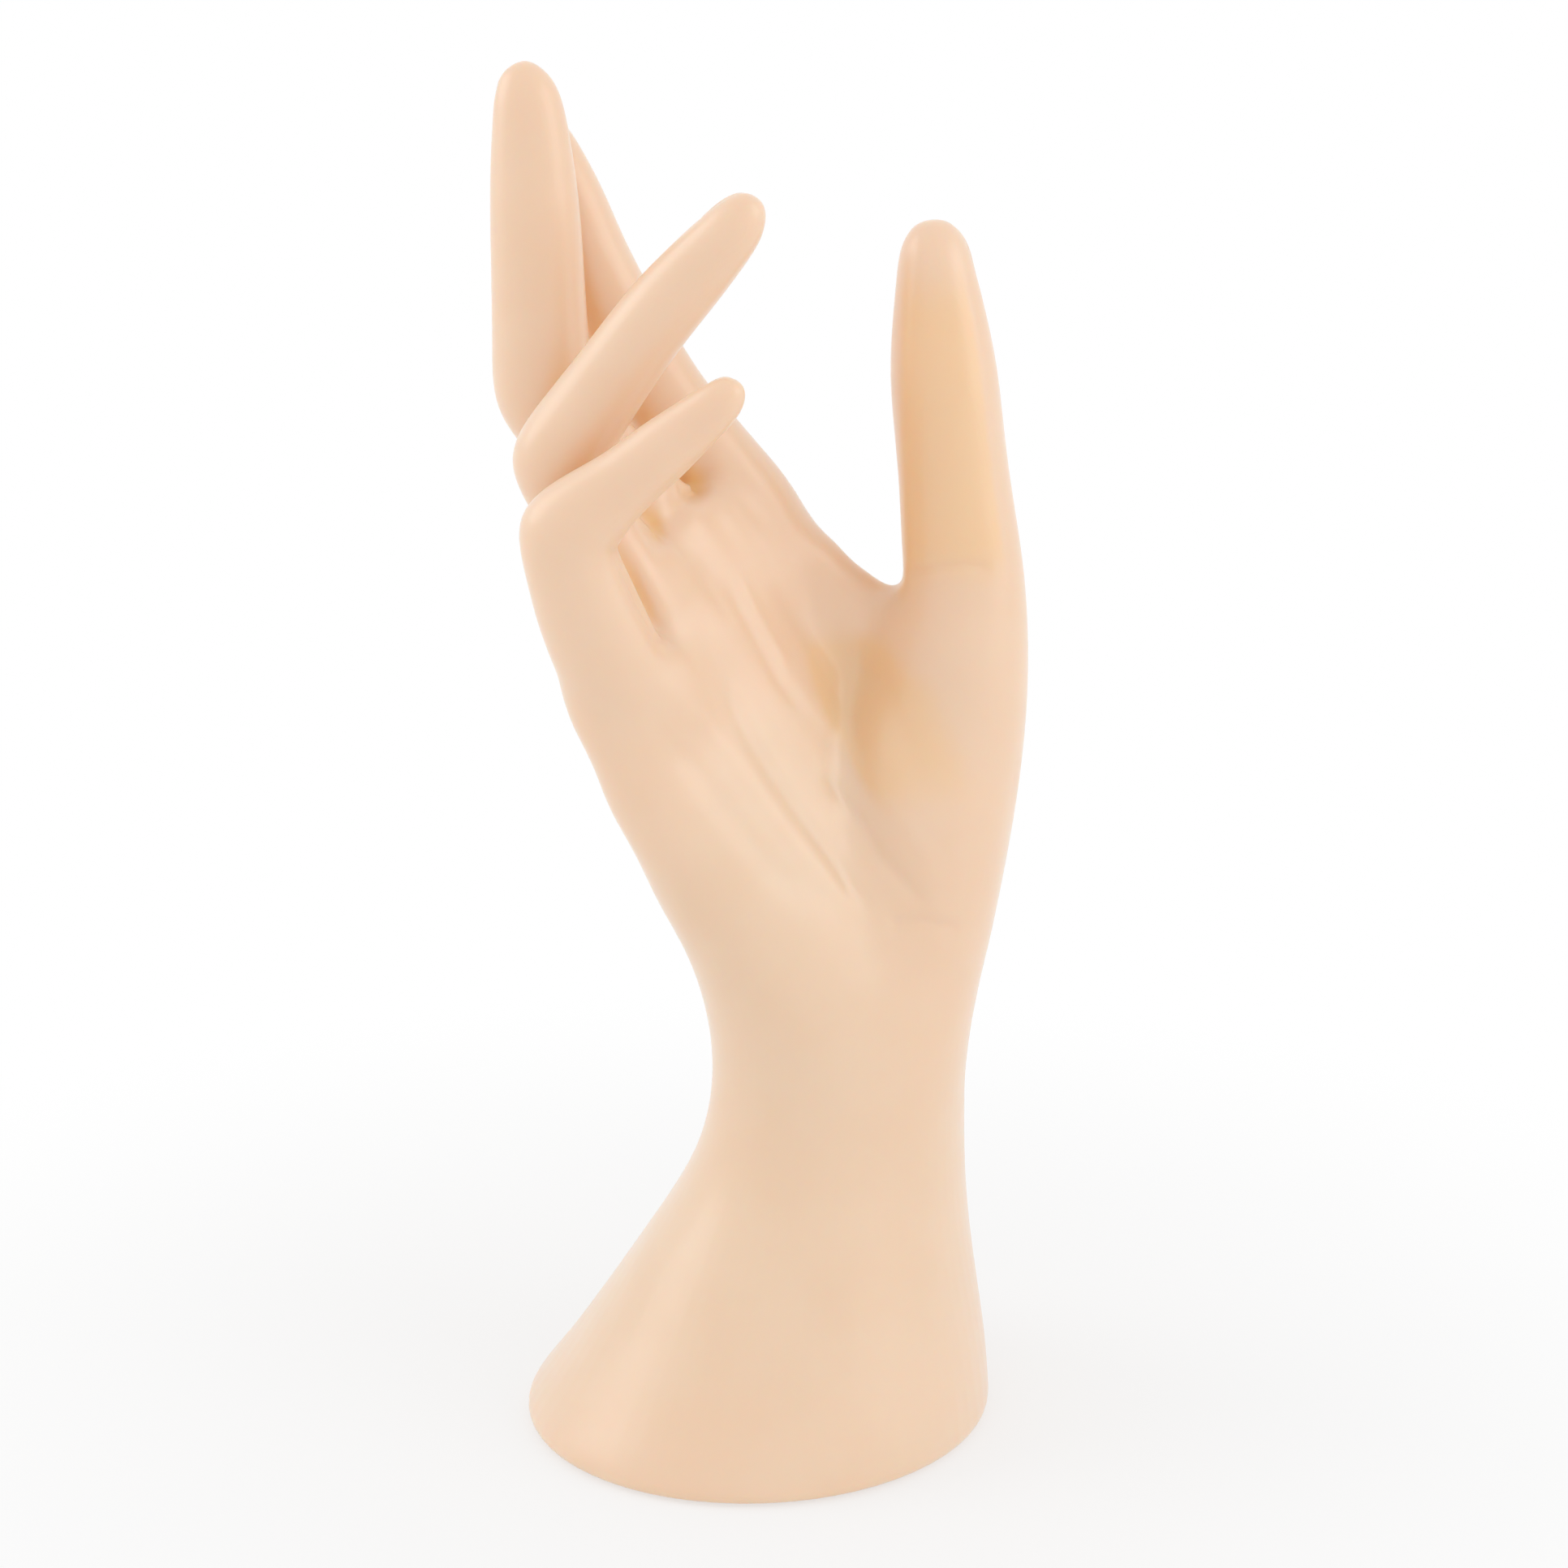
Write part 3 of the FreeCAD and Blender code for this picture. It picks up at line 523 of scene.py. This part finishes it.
def clamped_basis(count, samples):
    """Weights of a clamped cubic spline with that many poles, one row per sample."""
    knots = np.r_[0, 0, 0, np.arange(count - 2), count - 3, count - 3, count - 3].astype(float)
    t = np.linspace(0, count - 3 - TINY, samples)[:, None]
    weights = ((knots[:-1] <= t) & (t < knots[1:])).astype(float)
    for degree in (1, 2, 3):
        low, high = knots[:-degree - 1], knots[degree + 1:]
        rising = np.where(knots[degree:-1] > low, knots[degree:-1] - low, 1)
        falling = np.where(high > knots[1:-degree], high - knots[1:-degree], 1)
        weights = (t - low) / rising * weights[:, :-1] + (high - t) / falling * weights[:, 1:]
    return weights


def round_basis(count, samples):
    """Weights of a closed cubic spline through rings of that many points, one row per sample."""
    place = np.arange(samples) * count / samples
    start, t = place.astype(int), place % 1
    rows = np.arange(samples)
    weights = np.zeros((samples, count))
    parts = ((1 - t) ** 3, 3 * t ** 3 - 6 * t ** 2 + 4, -3 * t ** 3 + 3 * t ** 2 + 3 * t + 1, t ** 3)
    for offset, part in zip((-1, 0, 1, 2), parts):
        weights[rows, (start + offset) % count] += part / 6
    return weights


def tube_mesh(rings):
    """Points and triangles of the closed smooth wall that the rings steer."""
    poles = np.array(rings)
    middles = poles.mean(1, keepdims=True)
    # A closed cubic spline runs inside its poles, so they are moved out until it runs through the rings
    poles = middles + (poles - middles) * 3 / (2 + math.cos(2 * math.pi / RING_COUNT))
    along, about = clamped_basis(len(poles), TUBE_STEPS), round_basis(RING_COUNT, TUBE_SIDES)
    wall = np.einsum("ts,snc,mn->tmc", along, poles, about)
    points = np.vstack((wall.reshape(-1, 3), wall[0].mean(0), wall[-1].mean(0)))
    i = np.arange(TUBE_SIDES)
    j = (i + 1) % TUBE_SIDES
    last = (TUBE_STEPS - 1) * TUBE_SIDES
    triangles = [np.c_[j, i, np.full_like(i, len(points) - 2)],
                 np.c_[last + i, last + j, np.full_like(i, len(points) - 1)]]
    for step in range(TUBE_STEPS - 1):
        a, b = step * TUBE_SIDES + i, step * TUBE_SIDES + j
        triangles += [np.c_[a, b, b + TUBE_SIDES], np.c_[a, b + TUBE_SIDES, a + TUBE_SIDES]]
    return points, np.vstack(triangles)


GRID_LOW = np.floor(np.array(cad_low) * MM_PER_METRE / VOXEL).astype(int) - GRID_MARGIN
GRID_HIGH = np.ceil(np.array(cad_high) * MM_PER_METRE / VOXEL).astype(int) + GRID_MARGIN


class Field:
    """Distances to a closed wall, negative inside, on the part of the grid that it reaches."""

    def __init__(self, points, triangles):
        low = np.maximum(np.floor((points.min(0) - BAND) / VOXEL).astype(int), GRID_LOW)
        high = np.minimum(np.ceil((points.max(0) + BAND) / VOXEL).astype(int), GRID_HIGH)
        grid = vdb.FloatGrid.createLevelSetFromPolygons(
            points.astype(np.float32), triangles=triangles.astype(np.int32),
            transform=vdb.createLinearTransform(voxelSize=VOXEL), halfWidth=BAND / VOXEL)
        self.low, self.step = low, VOXEL
        self.values = np.zeros(tuple(high - low + 1), np.float32)
        grid.copyToArray(self.values, ijk=tuple(int(c) for c in low))

    @classmethod
    def from_values(cls, low, values, step):
        """A field of values that are at hand, on a grid of that step."""
        made = cls.__new__(cls)
        made.low, made.values, made.step = low, values, step
        return made

    def window(self):
        """The part of the whole grid that the field covers."""
        start = self.low - GRID_LOW
        return tuple(slice(a, a + n) for a, n in zip(start, self.values.shape))

    def at(self, points, beyond=BAND):
        """Values at points, straight between the grid's."""
        place = points / self.step - self.low
        # Just short of the last layer, so that each point has a next one
        top = np.array(self.values.shape) - 1.001
        inside = np.all((place >= 0) & (place <= top), axis=1)
        place = np.clip(place, 0, top)
        base = place.astype(int)
        t = place - base
        found = np.zeros(len(points))
        for dx in (0, 1):
            for dy in (0, 1):
                for dz in (0, 1):
                    weight = (np.where(dx, t[:, 0], 1 - t[:, 0]) * np.where(dy, t[:, 1], 1 - t[:, 1])
                              * np.where(dz, t[:, 2], 1 - t[:, 2]))
                    found += weight * self.values[base[:, 0] + dx, base[:, 1] + dy, base[:, 2] + dz]
        return np.where(inside, found, beyond)


def joined(a, b, reach):
    """The smaller of two distances, with the corner between them filled softly over that reach."""
    overlap = np.maximum(reach - np.abs(a - b), 0) / reach
    return np.minimum(a, b) - overlap * overlap * reach / 4


def softened(values, passes):
    """The field averaged with its neighbours along each axis."""
    for _ in range(passes):
        for axis in range(3):
            near = np.roll(values, 1, axis) + np.roll(values, -1, axis)
            values = values / 2 + near / 4
    return values


def mesh_object(name, points, faces):
    """A smooth mesh object from points in millimetres and triangles or quads."""
    mesh = bpy.data.meshes.new(name)
    mesh.vertices.add(len(points))
    mesh.vertices.foreach_set("co", (points / MM_PER_METRE).astype(np.float32).ravel())
    sides = faces.shape[1]
    mesh.loops.add(faces.size)
    mesh.loops.foreach_set("vertex_index", faces.astype(np.int32).ravel())
    mesh.polygons.add(len(faces))
    mesh.polygons.foreach_set("loop_start", np.arange(0, faces.size, sides, dtype=np.int32))
    mesh.update(calc_edges=True)
    mesh.validate()
    mesh.shade_smooth()
    thing = bpy.data.objects.new(name, mesh)
    bpy.context.scene.collection.objects.link(thing)
    return thing


def on_photo(points):
    """Where points fall on the photo, in its pixels, and the ways from them to the camera."""
    down = math.radians(CAMERA_DOWN_ANGLE)
    onward = np.array((0, math.cos(down), -math.sin(down)))
    upward = np.array((0, math.sin(down), math.cos(down)))
    away = points - CAMERA_PLACE
    enlargement = PHOTO_SIZE * LENS / SENSOR_WIDTH / (away @ onward)
    pixels = np.c_[PHOTO_SIZE / 2 + away[:, 0] * enlargement, PHOTO_SIZE / 2 - (away @ upward) * enlargement]
    return pixels, -away / np.linalg.norm(away, axis=1, keepdims=True), 1 / enlargement


def eased(low, high, value):
    """A smooth step from 0 at low to 1 at high."""
    t = np.clip((value - low) / (high - low), 0, 1)
    return t * t * (3 - 2 * t)


def plateau(value, steps):
    """Up from 0 to 1 between the first two steps, and down again between the last two."""
    return eased(steps[0], steps[1], value) * (1 - eased(steps[2], steps[3], value))


def to_line(places, line):
    """Distance to a line of points, the share of the way along it, and the side: 1 right of it going on."""
    line = np.array(line, float)
    lengths = np.linalg.norm(np.diff(line, axis=0), axis=1)
    passed = np.r_[0, np.cumsum(lengths)]
    nearest = np.full(len(places), np.inf)
    along, side = np.zeros(len(places)), np.zeros(len(places))
    for k, length in enumerate(lengths):
        way = (line[k + 1] - line[k]) / length
        offset = places - line[k]
        t = np.clip(offset @ way, 0, length)
        gap = np.linalg.norm(offset - t[:, None] * way, axis=1)
        closer = gap < nearest
        nearest[closer] = gap[closer]
        along[closer] = ((passed[k] + t) / passed[-1])[closer]
        side[closer] = np.sign(way[0] * offset[:, 1] - way[1] * offset[:, 0])[closer]
    return nearest, along, -side


def point_normals(points, quads):
    """Unit normals at the points, from the faces round them."""
    a, b, c, d = (points[quads[:, k]] for k in range(4))
    face = np.cross(c - a, d - b)
    normals = np.zeros_like(points)
    for k in range(4):
        for axis in range(3):
            normals[:, axis] += np.bincount(quads[:, k], face[:, axis], len(points))
    return normals / np.maximum(np.linalg.norm(normals, axis=1, keepdims=True), TINY)


# The skin as one field
body = Field(*tube_mesh(body_rings()))
hand = np.full(tuple(GRID_HIGH - GRID_LOW + 1), BAND, np.float32)
hand[body.window()] = body.values
for rings, reach in ((web_rings(), WEB_BLEND), (thumb_rings(), THUMB_BLEND)):
    part = Field(*tube_mesh(rings))
    hand[part.window()] = joined(hand[part.window()], part.values, reach)
fingers = np.full_like(hand, BAND)
for name in FINGERS:
    part = Field(*tube_mesh(finger_rings(name)))
    fingers[part.window()] = joined(fingers[part.window()], part.values, FINGER_BLEND)
for cleft in CLEFTS:
    part = Field(*tube_mesh(cleft_rings(*cleft)))
    fingers[part.window()] = joined(fingers[part.window()], part.values, CLEFT_BLEND)
hand = softened(joined(hand, fingers, ROOT_BLEND), 1)
outside = Field.from_values(GRID_LOW, hand.copy(), VOXEL)

# The hollow inside, and the round seat of the plate
cavity = Field(*tube_mesh(cavity_rings()))
window = cavity.window()
hand[window] = np.maximum(hand[window], -cavity.values)
seat_radius = FOOT_DEPTH / 2 - RIM_WALL
x, y, z = ((np.arange(count) + low) * VOXEL for count, low in zip(hand.shape, GRID_LOW))
low_rows = z < LEDGE_HEIGHT + BAND
seat_wall = np.hypot(x[:, None], y[None, :]) - seat_radius
seat = np.maximum(seat_wall[:, :, None], (z - LEDGE_HEIGHT)[None, None, low_rows])
hand[:, :, low_rows] = np.maximum(hand[:, :, low_rows], -seat)

# Its surface as quads that face outwards
grid = vdb.FloatGrid(MESH_BAND)
grid.transform = vdb.createLinearTransform(voxelSize=VOXEL)
grid.copyFromArray(np.clip(hand, -MESH_BAND, MESH_BAND), ijk=tuple(int(c) for c in GRID_LOW))
points, quads = grid.convertToQuads(isovalue=0.0)
points, quads = points.astype(float), quads.astype(int)
normals = point_normals(points, quads)
if (normals * (points - points.mean(0))).sum() < 0:
    quads = quads[:, ::-1]
    normals = -normals

# The outer skin is where the hand's own field is near zero: the hollow's wall lies deeper
outer = eased(*OUTER_SKIN, outside.at(points))
pixels, to_camera, pixel_size = on_photo(points)
facing = eased(*CAMERA_FACING, (normals * to_camera).sum(1)) * outer
shift = np.zeros(len(points))
fold_shade = np.zeros(len(points))
# Palm lines and folds carved into the skin; the folds also lay painted shade into the colour where they face
# the camera
for lines, ends, shade_share in ((PALM_LINES, LINE_ENDS, 0), (FOLD_LINES, FOLD_ENDS, FOLD_PAINTED_SHADE)):
    for height, half_width, line in lines:
        gap, along, _ = to_line(pixels, line)
        near = np.exp(-(gap * pixel_size / half_width) ** 2)
        near *= eased(0, ends, along) * eased(0, ends, 1 - along)
        shift += height * near
        fold_shade += shade_share * near * facing
gap, _, side = to_line(pixels, HOLLOW_EDGE)
right, down = side * gap, pixels[:, 1]
shift -= HOLLOW_DEPTH * plateau(right, HOLLOW_ACROSS) * plateau(down, HOLLOW_DOWN)
# Painted shade in the hollow, on the places that face the camera
hollow_shade = plateau(right, HOLLOW_SHADE_ACROSS) * plateau(down, HOLLOW_SHADE_DOWN) * facing
shift = np.maximum(shift, -DEEPEST_LINE) * facing
for place, radius, height in MOUNDS:
    away = (points - np.array(place)) / np.array((radius, MOUND_REACH, radius))
    shift += height * np.exp(-(away ** 2).sum(1)) * outer

# Nails on the backs of the digits
for name in list(FINGERS) + ["thumb"]:
    if name == "thumb":
        tip, rises, leans, nail_side = thumb_joints()[3], THUMB_RISES, THUMB_LEANS, THUMB_NAIL_SIDE
        tip_breadth = THUMB_SIZE * THUMB_TAPER[3]
    else:
        tip, nail_side = finger_joints(name)[3], FINGER_NAIL_SIDE
        rises, leans, _, breadth, taper = FINGERS[name][3:]
        tip_breadth = breadth * taper[3]
    onward = heading(rises[2], leans[2])
    nailward = square_to(np.array(nail_side), onward)
    local = points - tip
    u, v, w = local @ np.cross(nailward, onward), local @ onward, local @ nailward
    half_width, length = NAIL_WIDTH_SHARE * tip_breadth / 2, NAIL_LENGTH_SHARE * tip_breadth
    middle = -NAIL_BACK_SHARE * tip_breadth - length / 2
    # A rounded oblong: distance to its border, negative inside
    corner = half_width * NAIL_CORNER_SHARE
    q = np.abs(np.c_[u, v - middle]) - np.array((half_width, length / 2)) + corner
    border = np.linalg.norm(np.maximum(q, 0), axis=1) + np.minimum(q.max(1), 0) - corner
    back = eased(*NAIL_FACING, normals @ nailward) * outer
    back *= (w > 0) * (np.abs(v) < NAIL_REACH_LENGTHS * length)
    plate = 1 - eased(*NAIL_BORDER, border)
    edge = np.exp(-((border - GROOVE_PLACE) / GROOVE_HALF_WIDTH) ** 2)
    edge *= 1 - GROOVE_LOSS_SHARE * eased(middle, middle + length / 2, v)
    shift += back * (NAIL_RISE * plate - NAIL_GROOVE * edge)

smooth_points, smooth_normals = points.copy(), normals
points += normals * shift[:, None]
normals = point_normals(points, quads)

# How closely the hand closes round each place: the filled share of the space before it, near and further
# off. It becomes painted shade, a deeper colour where shade falls in the gaps
stride = round(CROWD_STEP / VOXEL)
filled = np.pad((outside.values < 0)[::stride, ::stride, ::stride].astype(np.float32), CROWD_MARGIN)
crowd_low = GRID_LOW / stride - CROWD_MARGIN
painted_shade = np.zeros(len(points))
passed = 0
for passes, reach, weight in CROWD_LEVELS:
    filled = softened(filled, passes - passed)
    passed = passes
    level = Field.from_values(crowd_low, filled, stride * VOXEL)
    painted_shade += weight * level.at(smooth_points + smooth_normals * reach, 0)
# Painted shade of the hollow and the folds is added, and a deeper colour towards the bottom of the foot
painted_shade = np.minimum(painted_shade + HOLLOW_PAINTED_SHADE * hollow_shade, PAINTED_SHADE_MOST)
painted_shade += fold_shade + FOOT_DEEPENING * (1 - eased(*FOOT_DEEPENING_RISE, smooth_points[:, 2]))
# Painted shade on the thumb's side that faces the palm
thumb_shade_place = eased(*THUMB_SHADE_SIDE, smooth_points[:, 0]) * plateau(smooth_points[:, 2], THUMB_SHADE_RISE)
palmward = eased(*THUMB_SHADE_FACING, smooth_normals @ np.array(THUMB_PALM_SIDE))
painted_shade += THUMB_PAINTED_SHADE * thumb_shade_place * palmward * outer

# The plate's seat is truly round, and its ledge flat
radius = np.hypot(points[:, 0], points[:, 1])
wall = (np.abs(radius - seat_radius) < SEAT_CATCH) & (points[:, 2] < LEDGE_HEIGHT - SEAT_CORNER)
points[wall, :2] *= (seat_radius / radius[wall])[:, None]
ledge = (np.abs(points[:, 2] - LEDGE_HEIGHT) < SEAT_CATCH) & (radius > seat_radius - LEDGE_WIDTH + VOXEL)
points[ledge & (radius < seat_radius + VOXEL), 2] = LEDGE_HEIGHT

skin = mesh_object("hand_skin", points, quads)
# The painted shade is kept on the skin for its material
painted_shade_attribute = skin.data.attributes.new("painted_shade", "FLOAT", "POINT")
painted_shade_attribute.data.foreach_set("value", painted_shade.astype(np.float32))
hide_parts("hand_shell")
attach(skin, "root")


def material(name, colour, roughness):
    """A new material and its shader."""
    made = bpy.data.materials.new(name)
    made.use_nodes = True
    shader = made.node_tree.nodes["Principled BSDF"]
    shader.inputs["Base Color"].default_value = (*colour, 1)
    shader.inputs["Roughness"].default_value = roughness
    return made, shader


def noise(tree, scale, detail, kind="ShaderNodeTexNoise"):
    """A socket of noise in object space, with that many waves per metre."""
    place = tree.nodes.new("ShaderNodeTexCoord")
    made = tree.nodes.new(kind)
    made.inputs["Scale"].default_value = scale
    made.inputs["Detail"].default_value = detail
    tree.links.new(place.outputs["Object"], made.inputs["Vector"])
    return made.outputs[0]


def ranged(tree, source, low, high, to_low, to_high):
    """A socket that goes smoothly from one value to another while its source goes from low to high."""
    made = tree.nodes.new("ShaderNodeMapRange")
    made.interpolation_type = "SMOOTHSTEP"
    for name, value in (("From Min", low), ("From Max", high), ("To Min", to_low), ("To Max", to_high)):
        made.inputs[name].default_value = value
    tree.links.new(source, made.inputs["Value"])
    return made.outputs["Result"]


def mixed(tree, share, first, second):
    """Two colours mixed by a socket: each is three numbers or a colour socket."""
    made = tree.nodes.new("ShaderNodeMix")
    made.data_type = "RGBA"
    tree.links.new(share, made.inputs["Factor"])
    sockets = [socket for socket in made.inputs if socket.type == "RGBA"]
    for socket, colour in zip(sockets, (first, second)):
        if isinstance(colour, tuple):
            socket.default_value = (*colour, 1)
        else:
            tree.links.new(colour, socket)
    return [socket for socket in made.outputs if socket.type == "RGBA"][0]


def bumped(tree, shader, source, strength, distance, under=None):
    """The shader's relief from a socket of heights, on top of another relief if one is given."""
    made = tree.nodes.new("ShaderNodeBump")
    made.inputs["Strength"].default_value = strength
    made.inputs["Distance"].default_value = distance
    tree.links.new(source, made.inputs["Height"])
    if under:
        tree.links.new(under, made.inputs["Normal"])
    tree.links.new(made.outputs["Normal"], shader.inputs["Normal"])
    return made.outputs["Normal"]


def two_tone(name, first, second, waves, roughness, relief_waves, strength, distance, metallic, kind):
    """A material that varies between two colours and between two roughnesses, with a fine relief."""
    made, shader = material(name, first, roughness[0])
    shader.inputs["Metallic"].default_value = metallic
    tree = made.node_tree
    share = ranged(tree, noise(tree, waves, TONE_DETAIL), *TONE_RANGE, 0, 1)
    tree.links.new(mixed(tree, share, first, second), shader.inputs["Base Color"])
    gloss = noise(tree, waves * GLOSS_WAVES_RATIO, GLOSS_DETAIL)
    tree.links.new(ranged(tree, gloss, *GLOSS_RANGE, *roughness), shader.inputs["Roughness"])
    bumped(tree, shader, noise(tree, relief_waves, GLOSS_DETAIL, kind), strength, distance)
    return made


# Soft flesh-coloured plastic, faintly mottled, with painted shade: its colour turns deep orange where the
# hand closes round it, in place of the shade and bounced light in gaps, folds and hollows
plastic, shader = material("flesh_plastic", PLASTIC, PLASTIC_MIDDLE_ROUGHNESS)
tree = plastic.node_tree
share = ranged(tree, noise(tree, MOTTLE_WAVES, GLOSS_DETAIL), *TONE_RANGE, 0, 1)
mottle = mixed(tree, share, PLASTIC, PLASTIC_PALE)
painted_shade_node = tree.nodes.new("ShaderNodeAttribute")
painted_shade_node.attribute_name = "painted_shade"
# The painted shade turns the colour towards deep orange
depth = ranged(tree, painted_shade_node.outputs["Fac"], *PAINTED_SHADE_RANGE, 0, 1)
tree.links.new(mixed(tree, depth, mottle, PAINTED_SHADE_ORANGE), shader.inputs["Base Color"])
gloss = noise(tree, GLOSS_WAVES, GLOSS_DETAIL)
tree.links.new(ranged(tree, gloss, *GLOSS_RANGE, *PLASTIC_ROUGHNESS), shader.inputs["Roughness"])
grain = bumped(tree, shader, noise(tree, GRAIN[0], GRAIN_DETAIL), *GRAIN[1:])
bumped(tree, shader, noise(tree, FINE_GRAIN[0], GRAIN_DETAIL), *FINE_GRAIN[1:], grain)
shader.inputs["Subsurface Weight"].default_value = SCATTER_WEIGHT
shader.inputs["Subsurface Radius"].default_value = SCATTER_RADIUS
shader.inputs["Subsurface Scale"].default_value = SCATTER_SCALE
shader.inputs["Coat Weight"].default_value = COAT_WEIGHT
shader.inputs["Coat Roughness"].default_value = COAT_ROUGHNESS
skin.data.materials.append(plastic)

for name, look in FINISHES.items():
    finish = two_tone(*look)
    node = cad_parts[name]
    if not node.material_slots:
        node.data.materials.append(finish)
    for slot in node.material_slots:
        slot.material = finish

# Camera
camera = bpy.data.objects.new("camera", bpy.data.cameras.new("camera"))
camera.data.sensor_width = SENSOR_WIDTH
camera.data.lens = LENS
camera.data.clip_start = NEAREST_SEEN
camera.location = CAMERA_PLACE / MM_PER_METRE
camera.rotation_euler = (math.radians(90 - CAMERA_DOWN_ANGLE), 0, 0)
bpy.context.scene.collection.objects.link(camera)
bpy.context.scene.camera = camera

# Floor, light and world
corners = np.array(((-1, -1, 0), (1, -1, 0), (1, 1, 0), (-1, 1, 0))) * FLOOR_REACH
floor = mesh_object("floor", corners, np.array(((0, 1, 2, 3),)))
white, shader = material("floor_white", FLOOR_COLOUR, FLOOR_ROUGHNESS)
floor.data.materials.append(white)


def seen_directly(tree):
    """A socket that is 1 where the camera, a reflection or glass looks straight at a thing."""
    path = tree.nodes.new("ShaderNodeLightPath")
    sums = []
    for name in ("Is Camera Ray", "Is Glossy Ray", "Is Transmission Ray"):
        either = tree.nodes.new("ShaderNodeMath")
        either.operation = "MAXIMUM"
        tree.links.new(path.outputs[name], either.inputs[0])
        if sums:
            tree.links.new(sums[-1].outputs[0], either.inputs[1])
        sums.append(either)
    return sums[-1].outputs[0]


def area_light(name, place, power):
    """A soft round lamp that looks at the hand."""
    lamp = bpy.data.lights.new(name, "AREA")
    lamp.shape = "DISK"
    lamp.size = LAMP_SIZE
    lamp.energy = power
    thing = bpy.data.objects.new(name, lamp)
    thing.location = place
    way = Vector(LAMP_AIM) - Vector(place)
    thing.rotation_euler = way.to_track_quat("-Z", "Y").to_euler()
    bpy.context.scene.collection.objects.link(thing)


# The floor is white to the camera and keeps the hand's soft shadow near its foot
nodes, links = white.node_tree.nodes, white.node_tree.links
place = nodes.new("ShaderNodeTexCoord")
away = nodes.new("ShaderNodeVectorMath")
away.operation = "LENGTH"
links.new(place.outputs["Object"], away.inputs[0])
fade = ranged(white.node_tree, away.outputs["Value"], *FLOOR_FADE, *FLOOR_GLOW)
share = nodes.new("ShaderNodeMath")
share.operation = "MULTIPLY"
links.new(fade, share.inputs[0])
links.new(seen_directly(white.node_tree), share.inputs[1])
glow = nodes.new("ShaderNodeEmission")
blend = nodes.new("ShaderNodeMixShader")
links.new(share.outputs[0], blend.inputs[0])
links.new(shader.outputs[0], blend.inputs[1])
links.new(glow.outputs[0], blend.inputs[2])
links.new(blend.outputs[0], nodes["Material Output"].inputs["Surface"])

for name, (place, power) in LAMPS.items():
    area_light(name, place, power)

world = bpy.data.worlds.new("studio")
bpy.context.scene.world = world
world.use_nodes = True
nodes, links = world.node_tree.nodes, world.node_tree.links
nodes.clear()
level = ranged(world.node_tree, seen_directly(world.node_tree), 0, 1, *WORLD_LEVEL)
background = nodes.new("ShaderNodeBackground")
background.inputs["Color"].default_value = (1, 1, 1, 1)
links.new(level, background.inputs["Strength"])
output = nodes.new("ShaderNodeOutputWorld")
links.new(background.outputs[0], output.inputs["Surface"])

bpy.context.scene.view_settings.view_transform = "Standard"
